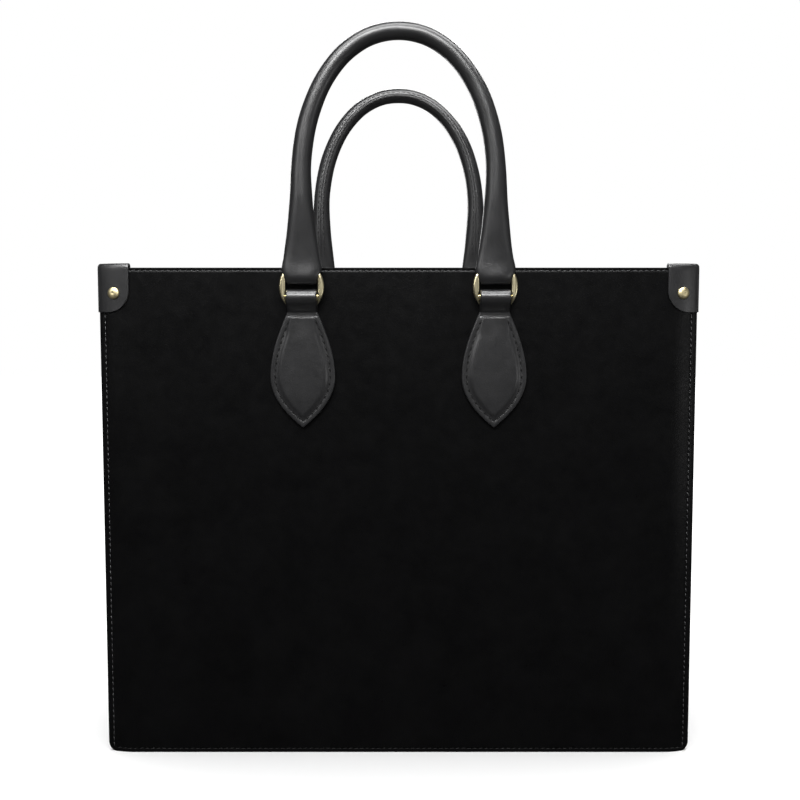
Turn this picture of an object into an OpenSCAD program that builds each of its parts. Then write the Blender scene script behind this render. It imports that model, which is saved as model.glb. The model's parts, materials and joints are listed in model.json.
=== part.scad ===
// Open-top leather diaper tote with rolled handles on crescent rings.
// Millimetres. +Z is up, the front faces -Y, and the origin is the centre of the footprint on the floor.

/* [Body] */
// Width of the front and back panels
body_w = 401; // [360:1:430]
// Height of the panels, from the floor to the top edge
body_h = 332; // [300:1:360]
// Distance between the outer faces of the two panels
body_d = 150; // [130:1:170]
// Thickness of the panel leather
panel_t = 2.0; // [1.8:0.1:2.2]
// Width of the strip that bends back along each side edge of a panel
bend_w = 18; // [16:0.5:20]
// How far the side edges of a panel are set back from its flat face
setback = 4; // [3:0.5:4.5]
// Radius of the two bottom corners of a panel
corner_r = 6; // [4:0.5:8]

/* [Gusset and base] */
// Thickness of the gusset and base leather
gusset_t = 1.6; // [1.2:0.1:1.6]
// Width of the seam flange that is stitched behind the panel edge
flange_w = 5; // [4.5:0.1:5.4]
// Thickness of the stiff board that lies on the base
board_t = 3; // [2:0.5:4]

/* [Tabs] */
// Distance from the middle of the bag to the middle of a tab, ring and handle leg
leg_x = 64; // [58:1:72]
// Half of the width of the tab's neck, which passes through the ring
neck_half = 10; // [9:0.1:10.1]
// Half of the greatest width of the tab
tab_half = 21.7; // [18:0.1:24]
// Thickness of the tab at its stitched border
tab_t = 3.0; // [2.4:0.1:3.2]
// How far the padded middle stands above the border
pad_rise = 1.5; // [0.6:0.1:2]

/* [Rings] */
// Radius of the two straight bars of a ring
bar_r = 2.0; // [1.6:0.05:2.1]
// Distance between the two bars of a ring
bar_gap = 14; // [13:0.5:16]
// Half of the clear width between a ring's crescents
window_half = 10.5; // [10.3:0.1:11.5]
// Half of the overall width of a ring
ring_half = 15; // [14:0.1:16.5]
// Half of the height of a crescent
crescent_half = 11.6; // [11:0.1:12.4]

/* [Handles] */
// Height of the handle's centreline above the top edge of the bag
handle_rise = 152; // [130:1:175]
// Thickness of the rolled handle at its highest point
handle_d = 11.4; // [10:0.1:13]
// Width of the flattened end of a handle
end_w = 25.4; // [23:0.1:28]
// Wall of the rolled leather sleeve
sleeve_t = 2.0; // [1.6:0.1:2.1]

/* [Corner patches] */
// Width of a patch on the face of the panel
patch_w = 20.5; // [18:0.5:23]
// Height of a patch below the top edge
patch_h = 29.5; // [26:0.5:34]
// Thickness of the patch leather
patch_t = 1.4; // [1:0.1:1.6]
// Radius of the stud's domed head
stud_r = 4.0; // [3.4:0.1:4.4]

/* [Inside] */
// Height of the leather facing inside the mouth
facing_h = 38; // [36:1:50]
// Width of the slip pocket
slip_w = 160; // [120:5:200]
// Height of the slip pocket
slip_h = 115; // [90:5:140]
// Length of the zip chain
zip_len = 168; // [140:4:200]

/* [Hidden] */
$fn = 48;

half_w = body_w / 2;
half_d = body_d / 2;
leather = "#161616";
leather_soft = "#2b2b2c";
gold = "#c9b06a";
fabric = "#2a2622";

// Layers of the wall, each as its distance from the middle plane of the bag.
stiffener_t = 1.2;
lining_t = 0.8;
facing_t = 1.2;
gap_t = 1.2;
panel_in = half_d - panel_t;
stiffener_in = panel_in - stiffener_t;
lining_out = stiffener_in - gap_t;
lining_in = lining_out - lining_t;
facing_in = lining_in - facing_t;

// Side walls: the gusset's web stands one flange width inside the panel edge.
web_out = half_w - flange_w;
web_in = web_out - gusset_t;
side_gap = 0.8;
lining_side = web_in - side_gap;
lining_corner_r = 12;

// Floor of the bag, from the flange's lower edge upward.
base_z = flange_w;
base_top = base_z + gusset_t;
board_top = base_top + board_t;
lining_floor = board_top + 0.2;
lip_h = 2;
lining_top = body_h - lip_h - 0.2;

// Ring, tab and handle axes. bar_off is the distance of the bars from the face of the panel.
bar_off = 6.3;
bar_clear = 0.25;
bore_r = bar_r + bar_clear;
low_bar_z = body_h - 20;
high_bar_z = low_bar_z + bar_gap;
ring_z = (low_bar_z + high_bar_z) / 2;
ring_t = 3.6;
tab_loop_r = 4.7;
handle_loop_r = 5.6;
tab_top_z = body_h - 29.5;
tab_wide_z = body_h - 73;
tab_tip_z = body_h - 107;

// Handle centreline: straight legs, then an arch that is a superellipse.
sleeve_z = high_bar_z + 5.2;
spring_z = body_h + 55;
arch_rise = body_h + handle_rise - spring_z;
arch_power = 2.1;
leg_steps = 7;
arch_steps = 24;
flare_h = 75;
leg_w = 13;
leg_d = 12;
end_t = 7;
core_start = body_h + 40;
core_clear = 0.1;
tube_sides = 16;

// Corner patches and their studs.
patch_over = 3.0;
patch_r = 11.5;
stud_x = half_w - 10.8;
stud_z = body_h - 17;
stud_rise = 1.9;
post_r = 1.2;

// Fittings inside the bag.
snap_z = body_h - 21;
snap_r = 9;
snap_hole_r = 3.4;
snap_stud_r = 3.1;
socket_t = 3;
slip_depth = 9;
slip_t = 0.8;
slip_z = 70;
zip_z = body_h - 84;
window_w = 12;
chain_w = 4.6;
chain_t = 1.7;
tape_t = 0.45;
pouch_t = 0.5;
pouch_h = 130;
pouch_y = lining_out + tape_t + 0.05;
slider_len = 11;
slider_x = zip_len / 2 - slider_len / 2 - 1;

// ---- Shared shapes ----

// How far the panel's outer face is set back at a distance x from the middle.
function bend(x) = let (t = max(0, (abs(x) - (half_w - bend_w)) / bend_w)) setback * t * t;
function face_y(x) = -half_d + bend(x);
function bend_slope(x) = atan(2 * setback * (abs(x) - (half_w - bend_w)) / (bend_w * bend_w));

// Stations along the width: closely spaced only where the panel bends.
bend_steps = 6;
right_stations = [for (i = [0:bend_steps]) half_w - bend_w + bend_w * i / bend_steps];
stations = concat([for (i = [bend_steps:-1:0]) -right_stations[i]], right_stations);
function span(x0, x1) = concat([x0], [for (x = stations) if (x > x0 + 0.01 && x < x1 - 0.01) x], [x1]);
function reversed(list) = [for (i = [len(list) - 1:-1:0]) list[i]];

// A layer that follows the front panel from x0 to x1, off behind its face and t thick.
module layer(x0, x1, off, t, z0, z1) {
    xs = span(x0, x1);
    translate([0, 0, z0])
        linear_extrude(z1 - z0)
            polygon(concat(
                [for (x = xs) [x, face_y(x) + off]],
                [for (x = reversed(xs)) [x, face_y(x) + off + t]]
            ));
}

// Outline of a panel seen from the front, with its two bottom corners rounded.
module panel_outline() {
    difference() {
        translate([-half_w, 0]) square([body_w, body_h]);
        for (s = [-1, 1])
            difference() {
                translate([s * (half_w - corner_r / 2), corner_r / 2])
                    square([corner_r + 0.02, corner_r + 0.02], center = true);
                translate([s * (half_w - corner_r), corner_r]) circle(r = corner_r);
            }
    }
}

// Extrudes a shape drawn in X and Z from y0 to y1.
module from_front(y0, y1) {
    translate([0, y1, 0]) rotate([90, 0, 0]) linear_extrude(y1 - y0) children();
}

// Extrudes a shape drawn in Y and Z, centred on x, over a width w.
module from_side(x, w) {
    translate([x - w / 2, 0, 0]) rotate([90, 0, 90]) linear_extrude(w) children();
}

module box(x0, x1, y0, y1, z0, z1) {
    translate([x0, y0, z0]) cube([x1 - x0, y1 - y0, z1 - z0]);
}

module rounded(w, d, r) {
    for (sx = [-1, 1], sy = [-1, 1]) translate([sx * (w - r), sy * (d - r)]) circle(r = r);
    square([2 * w, 2 * (d - r)], center = true);
    square([2 * (w - r), 2 * d], center = true);
}

// Draws the front's part as it is, or its mirror image at the back, and the same for left and right.
module at_end(front) { if (front) children(); else mirror([0, 1, 0]) children(); }
module at_side(left) { if (left) children(); else mirror([1, 0, 0]) children(); }

// ---- Shell ----

module stud_hole(r) {
    translate([-stud_x, face_y(stud_x), stud_z])
        rotate([90, 0, -bend_slope(stud_x)])
            translate([0, 0, -10]) cylinder(r = r, h = 20);
}

module panel() {
    color(leather)
        difference() {
            intersection() {
                layer(-half_w, half_w, 0, panel_t, 0, body_h);
                from_front(-half_d - 1, 0) panel_outline();
            }
            stud_hole(post_r + 0.1);
            mirror([1, 0, 0]) stud_hole(post_r + 0.1);
        }
}

// Everything between the two panels, from -x to x.
module between_panels(x, z0, z1) {
    for (front = [true, false])
        at_end(front) {
            layer(-x, x, panel_t, setback + 1, z0, z1);
            box(-x, x, setback - panel_in, 0, z0, z1);
        }
}

module gusset() {
    y = -face_y(web_out) - panel_t;
    color(leather) {
        box(-web_out, -web_in, -y, y, base_top, body_h);
        for (front = [true, false])
            at_end(front) layer(-half_w, -web_in, panel_t, gusset_t, base_top, body_h);
    }
}

// The base is set up inside the panels, and its flanges are stitched behind their lower edges.
module base_panel() {
    color(leather)
        intersection() {
            union() {
                between_panels(web_out, base_z, base_top);
                for (front = [true, false])
                    at_end(front) layer(-half_w, half_w, panel_t, gusset_t, 0, base_top);
            }
            from_front(-half_d, half_d) panel_outline();
        }
}

module base_board() {
    color("saddlebrown")
        translate([0, 0, base_top])
            linear_extrude(board_t) rounded(web_in - 0.6, stiffener_in - 0.4, 5);
}

module stiffener() {
    color("dimgray")
        layer(-(half_w - bend_w), half_w - bend_w, panel_t, stiffener_t, base_top + 0.2, lining_top);
}

module lining() {
    color(fabric)
        difference() {
            translate([0, 0, lining_floor])
                linear_extrude(lining_top - lining_floor) rounded(lining_side, lining_out, lining_corner_r);
            translate([0, 0, lining_floor + lining_t])
                linear_extrude(body_h)
                    rounded(lining_side - lining_t, lining_in, lining_corner_r - lining_t);
            box(-zip_len / 2 - 2, zip_len / 2 + 2, 0, body_d, zip_z - window_w / 2, zip_z + window_w / 2);
        }
}

// One half of the facing, from the middle of one gusset round the panel to the middle of the other.
module facing() {
    side = lining_side - lining_t;
    r = lining_corner_r - lining_t;
    color(leather)
        intersection() {
            box(-half_w, half_w, -half_d, 0, 0, body_h);
            difference() {
                union() {
                    translate([0, 0, body_h - facing_h])
                        linear_extrude(facing_h) rounded(side, lining_in, r);
                    between_panels(web_in, body_h - lip_h, body_h);
                }
                translate([0, 0, body_h - facing_h - 1])
                    linear_extrude(facing_h + 2) rounded(side - facing_t, facing_in, r - facing_t);
            }
        }
}

// ---- Corner patches and studs ----

// A leather cap over the front left corner: a face, a top, a side wall and a return behind the seam.
module patch() {
    stack = panel_t + gusset_t;
    z0 = body_h - patch_h;
    z1 = body_h + patch_over;
    y = face_y(half_w);
    color(leather_soft)
        difference() {
            union() {
                layer(-half_w, -half_w + patch_w, -patch_t, patch_t, z0, z1);
                layer(-half_w, -half_w + patch_w, -patch_t, stack + 2 * patch_t, body_h, z1);
                layer(-half_w, -web_out - 0.3, stack, patch_t, z0, z1);
                box(-half_w - patch_t, -half_w, y - patch_t, y + stack + patch_t, z0, z1);
            }
            from_front(-body_d, face_y(web_out) + 1) patch_corner(z0);
            stud_hole(post_r + 0.1);
        }
}

// What is cut from the lower inner corner of a patch to round it.
module patch_corner(z0) {
    translate([-half_w + patch_w - patch_r, z0])
        difference() {
            translate([0, -1]) square([patch_r + 1, patch_r + 1]);
            translate([0, patch_r]) circle(r = patch_r);
        }
}

// Domed head and post of a stud, square to the bent surface of the patch.
module stud() {
    grip = patch_t + panel_t + 1.2;
    color(gold)
        at_stud()
            rotate_extrude()
                polygon(concat(
                    [[0, -grip], [post_r, -grip], [post_r, 0], [stud_r, 0]],
                    [for (a = [0:10:90]) [stud_r * pow(cos(a), 0.6), 0.4 + (stud_rise - 0.4) * sin(a)]]
                ));
}

module stud_back() {
    color(gold)
        at_stud()
            translate([0, 0, -patch_t - panel_t - 1.25])
                difference() {
                    cylinder(r = 2.3, h = 1);
                    translate([0, 0, -1]) cylinder(r = post_r + 0.05, h = 3);
                }
}

module at_stud() {
    a = bend_slope(stud_x);
    translate([-stud_x - patch_t * sin(a), face_y(stud_x) - patch_t * cos(a), stud_z])
        rotate([90, 0, -a])
            children();
}

// ---- Tabs ----

// Right half of a teardrop from its top, through its widest place, to its point.
function drop_half(top, wide, tip, w0, w1) = concat(
    [for (i = [0:10]) [w0 + (w1 - w0) * sin(9 * i), top + (wide - top) * i / 10]],
    [for (i = [1:11]) let (s = i / 12) [w1 * (1 - s * s), wide + (tip - wide) * s]]
);
module teardrop(top, wide, tip, w0, w1) {
    right = drop_half(top, wide, tip, w0, w1);
    polygon(concat(right, [[0, tip]], [for (p = reversed(right)) [-p[0], p[1]]]));
}

// The point where a line from p touches the circle of radius r round c, on the side given by turn.
function touch(p, c, r, turn) =
    let (v = c - p, d = norm(v), len = sqrt(d * d - r * r), a = atan2(v[1], v[0]) + turn * asin(r / d))
    p + len * [cos(a), sin(a)];

// The folded strap that holds the ring's lower bar, seen from the side, with its bore left out.
module strap_side() {
    bar = [-half_d - bar_off, low_bar_z];
    front = [-half_d - tab_t, tab_top_z];
    back = [-half_d, tab_top_z + 3];
    translate(bar) circle(r = tab_loop_r);
    polygon([
        [-half_d, tab_top_z - 1], front - [0, 1], front, touch(front, bar, tab_loop_r, 1), bar,
        touch(back, bar, tab_loop_r, -1), back
    ]);
}

module tab() {
    color(leather_soft)
        translate([-leg_x, 0, 0])
            difference() {
                union() {
                    from_side(0, 2 * neck_half) strap_side();
                    from_front(-half_d - tab_t, -half_d)
                        teardrop(tab_top_z, tab_wide_z, tab_tip_z, neck_half, tab_half);
                    from_front(-half_d - tab_t - pad_rise * 0.6, -half_d - tab_t)
                        teardrop(tab_top_z - 3, tab_wide_z, tab_tip_z + 6.6, neck_half - 1, tab_half - 4.2);
                    from_front(-half_d - tab_t - pad_rise, -half_d - tab_t - pad_rise * 0.6)
                        teardrop(tab_top_z - 4.2, tab_wide_z, tab_tip_z + 8.4, neck_half - 2.2, tab_half - 5.4);
                }
                bar_at(low_bar_z, bore_r, 2 * neck_half + 2);
            }
}

// A round bar along X at the height z, in the plane of the ring.
module bar_at(z, r, w) {
    translate([-w / 2, -half_d - bar_off, z]) rotate([0, 90, 0]) cylinder(r = r, h = w);
}

// ---- Rings ----

module ring() {
    s = ring_half - window_half;
    arc_r = (crescent_half * crescent_half + s * s) / (2 * s);
    y = -half_d - bar_off;
    color(gold)
        translate([-leg_x, 0, 0]) {
            for (z = [low_bar_z, high_bar_z]) bar_at(z, bar_r, 2 * window_half + 2);
            for (side = [-1, 1])
                from_front(y - ring_t / 2, y + ring_t / 2)
                    translate([0, ring_z])
                        intersection() {
                            translate([side * (ring_half - arc_r), 0]) circle(r = arc_r);
                            translate([side * (window_half + 10), 0]) square([20, 40], center = true);
                        }
        }
}

// ---- Handles ----

function smooth(t) = let (c = min(1, max(0, t))) c * c * (3 - 2 * c);

// Centreline of a handle as points in X and Z.
left_leg = [for (i = [0:leg_steps - 1]) [-leg_x, sleeve_z + (spring_z - sleeve_z) * i / leg_steps]];
arch = [for (i = [0:arch_steps]) let (a = 180 - 180 * i / arch_steps, c = cos(a), s = sin(a))
    [leg_x * sign(c) * pow(abs(c), 2 / arch_power), spring_z + arch_rise * pow(abs(s), 2 / arch_power)]];
handle_line = concat(left_leg, arch, [for (p = reversed(left_leg)) [-p[0], p[1]]]);
core_line = [for (p = handle_line) if (p[1] >= core_start) p];

// Width in the plane of the arch, and thickness across it, at the height z.
function leg_width(z) = let (v = z - body_h)
    v < flare_h
        ? leg_w + (end_w - leg_w) * pow(1 - max(0, v) / flare_h, 1.9)
        : leg_w + (handle_d - leg_w) * (v - flare_h) / (handle_rise - flare_h);
function leg_depth(z) = let (v = z - body_h)
    v < flare_h
        ? end_t + (leg_d - end_t) * smooth(v / 45)
        : leg_d + (handle_d - leg_d) * (v - flare_h) / (handle_rise - flare_h);

function heading(line, i) =
    let (n = len(line) - 1, d = line[min(n, i + 1)] - line[max(0, i - 1)]) d / norm(d);

// One ring of points round the centreline at station i, for half sizes a in plane and b across.
function section(line, i, a, b, sides) =
    let (d = heading(line, i), side = [d[1], -d[0]])
    [for (k = [0:sides - 1]) let (t = 360 * k / sides, p = line[i] + side * a * cos(t))
        [p[0], -half_d - bar_off + b * sin(t), p[1]]];

// Quads between ring i and ring i + 1, where the rings start at the point first. flip turns them inside out.
function wall(first, rings, sides, flip) = [for (i = [0:rings - 2], k = [0:sides - 1])
    let (p = first + i * sides, q = p + sides, l = (k + 1) % sides)
    flip ? [p + k, q + k, q + l, p + l] : [p + k, p + l, q + l, q + k]];

module sleeve() {
    n = len(handle_line);
    outer = [for (i = [0:n - 1])
        each section(handle_line, i, leg_width(handle_line[i][1]) / 2, leg_depth(handle_line[i][1]) / 2,
                     tube_sides)];
    inner = [for (i = [0:n - 1])
        each section(handle_line, i, leg_width(handle_line[i][1]) / 2 - sleeve_t,
                     leg_depth(handle_line[i][1]) / 2 - sleeve_t, tube_sides)];
    far = n * tube_sides;
    last = far - tube_sides;
    ends = [for (k = [0:tube_sides - 1]) let (l = (k + 1) % tube_sides)
        each [[k, l, far + l, far + k], [last + l, last + k, far + last + k, far + last + l]]];
    color(leather_soft)
        polyhedron(concat(outer, inner),
                   concat(wall(0, n, tube_sides, true), wall(far, n, tube_sides, false), ends));
}

module handle_core() {
    n = len(core_line);
    r = handle_d / 2 - sleeve_t - core_clear;
    points = [for (i = [0:n - 1]) each section(core_line, i, r, r, tube_sides)];
    last = (n - 1) * tube_sides;
    color("tan")
        polyhedron(points, concat(
            wall(0, n, tube_sides, true),
            [[for (k = [0:tube_sides - 1]) k], [for (k = [tube_sides - 1:-1:0]) last + k]]
        ));
}

// The sleeve's tongue, folded round the ring's upper bar.
module handle_loop() {
    bar = [-half_d - bar_off, high_bar_z];
    color(leather_soft)
        translate([-leg_x, 0, 0])
            difference() {
                from_side(0, 2 * neck_half) {
                    translate(bar) circle(r = handle_loop_r);
                    translate([bar[0] - end_t / 2, bar[1]]) square([end_t, sleeve_z - high_bar_z]);
                }
                bar_at(high_bar_z, bore_r, 2 * neck_half + 2);
                box(-leg_x, leg_x, -body_d, 0, sleeve_z, body_h + 20);
            }
}

// ---- Magnetic snap ----

module snap_at(y) { translate([0, y, snap_z]) rotate([90, 0, 0]) children(); }

module snap_socket() {
    color(gold)
        snap_at(-facing_in)
            translate([0, 0, -socket_t])
                difference() {
                    cylinder(r = snap_r, h = socket_t);
                    translate([0, 0, -1]) cylinder(r = snap_hole_r, h = socket_t + 0.2);
                }
}

module snap_stud() {
    color(gold)
        snap_at(facing_in) {
            cylinder(r = snap_r, h = 1.4);
            cylinder(r = snap_stud_r, h = 3.4);
        }
}

module snap_washer() {
    color("silver")
        snap_at(-lining_out - 0.2)
            difference() {
                cylinder(r = snap_r - 0.5, h = 0.8);
                translate([0, 0, -1]) cylinder(r = 2, h = 3);
            }
}

// ---- Slip pocket ----

module slip_pocket() {
    y0 = -lining_in;
    y1 = y0 + slip_depth;
    x = slip_w / 2;
    color(fabric) {
        box(-x, x, y1 - slip_t, y1, slip_z, slip_z + slip_h);
        box(-x, x, y0, y1, slip_z, slip_z + slip_t);
        for (s = [-1, 1]) box(s * x - slip_t / 2, s * x + slip_t / 2, y0, y1, slip_z, slip_z + slip_h);
    }
}

module slip_pocket_binding() {
    y1 = -lining_in + slip_depth;
    x = slip_w / 2 - slip_t;
    z = slip_z + slip_h;
    color(leather)
        difference() {
            box(-x, x, y1 - slip_t - 0.7, y1 + 0.7, z - 9, z + 0.7);
            box(-x - 1, x + 1, y1 - slip_t, y1, z - 10, z);
        }
}

// ---- Zip pocket ----

module zip_window(grow) {
    translate([0, zip_z])
        square([zip_len + 4 + 2 * grow, window_w + 2 * grow], center = true);
}

module zip_welt() {
    color(leather)
        from_front(facing_in + 0.2, lining_in)
            difference() {
                zip_window(7);
                zip_window(0);
            }
}

module zip_tape() {
    color("black")
        from_front(lining_out, lining_out + tape_t) zip_window(6);
}

module zip_chain() {
    color(gold)
        box(-zip_len / 2, zip_len / 2, lining_out - chain_t, lining_out, zip_z - chain_w / 2, zip_z + chain_w / 2);
}

module zip_end_stops() {
    color(gold)
        for (s = [-1, 1])
            translate([s * (zip_len / 2 + 0.9), lining_out - 1, zip_z]) cube([1.6, 1.8, 5.6], center = true);
}

module zip_pouch() {
    color(fabric)
        box(-zip_len / 2 - 14, zip_len / 2 + 14, pouch_y, pouch_y + pouch_t, zip_z - pouch_h, zip_z + 14);
}

// The slider's cover and its two side flanges, which run beside the chain, and the bail over it.
module zip_slider() {
    face = lining_out - chain_t - 0.35;
    cover_t = 1.3;
    w = chain_w / 2 + 0.4;
    bail_y = face - cover_t - 1.9;
    color(gold)
        translate([slider_x, 0, zip_z])
            difference() {
                union() {
                    box(-slider_len / 2, slider_len / 2, face - cover_t, face, -w - 1.2, w + 1.2);
                    for (s = [-1, 1])
                        translate([0, (face - cover_t + lining_out - 0.3) / 2, s * (w + 0.6)])
                            cube([slider_len, lining_out - 0.3 - face + cover_t, 1.2], center = true);
                    for (s = [-1, 1])
                        translate([0, (bail_y + face - cover_t) / 2, s * 2.3])
                            cube([3, face - cover_t - bail_y, 1], center = true);
                    translate([0, bail_y, 0]) cylinder(r = 0.9, h = 5.6, center = true);
                }
                box(-slider_len, slider_len, face, lining_out, -w, w);
            }
}

module zip_pull() {
    y = lining_out - chain_t - 0.35 - 1.3 - 1.9;
    color(gold)
        translate([slider_x, y, zip_z])
            difference() {
                union() {
                    cylinder(r = 1.8, h = 3, center = true);
                    box(-6, 0, -0.8, 0.8, -1.5, 1.5);
                    box(-30, -6, -0.8, 0.8, -3.6, 3.6);
                }
                cylinder(r = 1.15, h = 8, center = true);
            }
}

// ---- Nodes ----

for (front = [true, false]) {
    end = front ? "front" : "back";
    at_end(front) panel();
    at_end(front) stiffener();
    at_end(front) facing();
    at_end(front) sleeve();
    at_end(front) handle_core();
    for (left = [true, false]) {
        place = str(end, left ? "_left" : "_right");
        at_end(front) at_side(left) patch();
        at_end(front) at_side(left) stud();
        at_end(front) at_side(left) stud_back();
        at_end(front) at_side(left) tab();
        at_end(front) at_side(left) ring();
        at_end(front) at_side(left) handle_loop();
    }
}
gusset();  // left_gusset
mirror([1, 0, 0]) gusset();  // right_gusset
base_panel();
base_board();
lining();
snap_socket();
snap_stud();
snap_washer();  // snap_socket_washer
mirror([0, 1, 0]) snap_washer();  // snap_stud_washer
slip_pocket();
slip_pocket_binding();
zip_welt();
zip_tape();
zip_chain();
zip_end_stops();
zip_pouch();
zip_slider();
zip_pull();
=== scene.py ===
"""A structured leather tote with rolled handles on crescent rings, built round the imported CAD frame.

Lengths are in metres, and MM turns millimetres into metres. The front of the bag faces -Y. Pieces that
repeat at the back or on the right are mirror images of the front left one.
"""

import json
import math

import bmesh
import bpy
from mathutils import Matrix, Vector

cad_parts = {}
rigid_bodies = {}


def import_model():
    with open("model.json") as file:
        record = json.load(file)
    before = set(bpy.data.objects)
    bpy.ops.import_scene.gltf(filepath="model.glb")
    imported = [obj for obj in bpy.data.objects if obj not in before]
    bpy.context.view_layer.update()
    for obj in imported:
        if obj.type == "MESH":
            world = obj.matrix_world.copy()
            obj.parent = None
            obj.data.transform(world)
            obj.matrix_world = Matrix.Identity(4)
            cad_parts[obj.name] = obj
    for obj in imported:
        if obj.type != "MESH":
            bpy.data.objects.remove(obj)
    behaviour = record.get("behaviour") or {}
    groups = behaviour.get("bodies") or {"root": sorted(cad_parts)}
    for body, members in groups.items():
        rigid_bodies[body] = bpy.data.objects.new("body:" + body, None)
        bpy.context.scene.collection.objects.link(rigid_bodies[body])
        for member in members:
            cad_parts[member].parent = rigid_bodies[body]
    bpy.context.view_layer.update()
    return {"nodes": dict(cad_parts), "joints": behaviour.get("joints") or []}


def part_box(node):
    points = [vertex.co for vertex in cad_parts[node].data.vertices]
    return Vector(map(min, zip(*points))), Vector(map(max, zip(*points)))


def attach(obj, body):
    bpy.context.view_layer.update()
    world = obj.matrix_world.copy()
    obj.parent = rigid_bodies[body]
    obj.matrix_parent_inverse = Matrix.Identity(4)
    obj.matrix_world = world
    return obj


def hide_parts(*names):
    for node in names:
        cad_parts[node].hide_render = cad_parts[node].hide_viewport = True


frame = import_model()

MM = 0.001

# ---- Sizes ----

# Fixed joints have no place of their own.
JOINT_AT = {j["name"]: j["pos_m"] for j in frame["joints"] if "pos_m" in j}
PANEL_LOW, PANEL_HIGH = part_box("front_panel")
PANEL_T = 2.0 * MM
GUSSET_T = 1.6 * MM
FACING_T = 1.2 * MM
LINING_T = 0.8 * MM
PATCH_T = 1.4 * MM
HALF_W = PANEL_HIGH[0]
TOP = PANEL_HIGH[2]
FACE_Y = PANEL_LOW[1]
SETBACK = PANEL_HIGH[1] - PANEL_LOW[1] - PANEL_T
BEND_W = 18 * MM
CORNER_R = 6 * MM
WEB_IN = -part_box("left_gusset")[1][0]
WEB_OUT = WEB_IN + GUSSET_T
BASE_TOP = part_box("base_panel")[1][2]
LINING_LOW, LINING_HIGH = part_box("lining")
FACING_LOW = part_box("front_facing")[0][2]
FACING_IN = -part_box("snap_socket")[0][1]
LINING_IN = -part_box("slip_pocket")[0][1]
RING_X, RING_Y, LOW_BAR = JOINT_AT["front_left_ring_swing"]
LEG_X = abs(RING_X)
HIGH_BAR = JOINT_AT["front_handle_swing"][2]
HANDLE_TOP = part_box("front_handle")[1][2]
ENDS = {"front": 1, "back": -1}
SIDES = {"left": 1, "right": -1}


def mm(*values):
    """Millimetres as a list in metres."""
    return [v * MM for v in values]


def smooth(t):
    """0 below 0, 1 above 1, and an S-curve between."""
    t = min(1.0, max(0.0, t))
    return t * t * (3 - 2 * t)


def mix(a, b, t):
    return a + (b - a) * t


def bell(distance, width):
    return math.exp(-((distance / width) ** 2))


def steps(start, end, count):
    """count + 1 evenly spaced values from start to end."""
    return [start + (end - start) * i / count for i in range(count + 1)]


def graded(start, end, marks, step):
    """Values from start to end: at the distances in marks from each end, and about one per step between."""
    inner = marks[-1]
    count = max(1, round((end - start - 2 * inner) / step))
    middle = steps(start + inner, end - inner, count)
    return [start + m for m in marks[:-1]] + middle + [end - m for m in reversed(marks[:-1])]


# Angles through a quarter turn, for rounded corners.
QUARTER = steps(0, math.pi / 2, 5)


def circle(count):
    """count angles round a full turn."""
    return [2 * math.pi * k / count for k in range(count)]


def signed_power(value, power):
    return math.copysign(abs(value) ** power, value)


def oval(count, wide, tall):
    """Points (x, y) round an oval of half size 1. Powers below 1 for x and y make it squarer."""
    return [(signed_power(math.cos(a), wide), signed_power(math.sin(a), tall)) for a in circle(count)]


def turned(profile, sides, place):
    """Rings of points: a profile of (radius, height) turned round the z axis of the matrix place."""
    rings = []
    for r, h in profile:
        rings.append([place @ Vector((r * math.cos(a), r * math.sin(a), h)) for a in circle(sides)])
    return rings


# ---- Meshes ----


def new_object(name, data):
    """A new object in the scene."""
    item = bpy.data.objects.new(name, data)
    bpy.context.scene.collection.objects.link(item)
    return item


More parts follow.
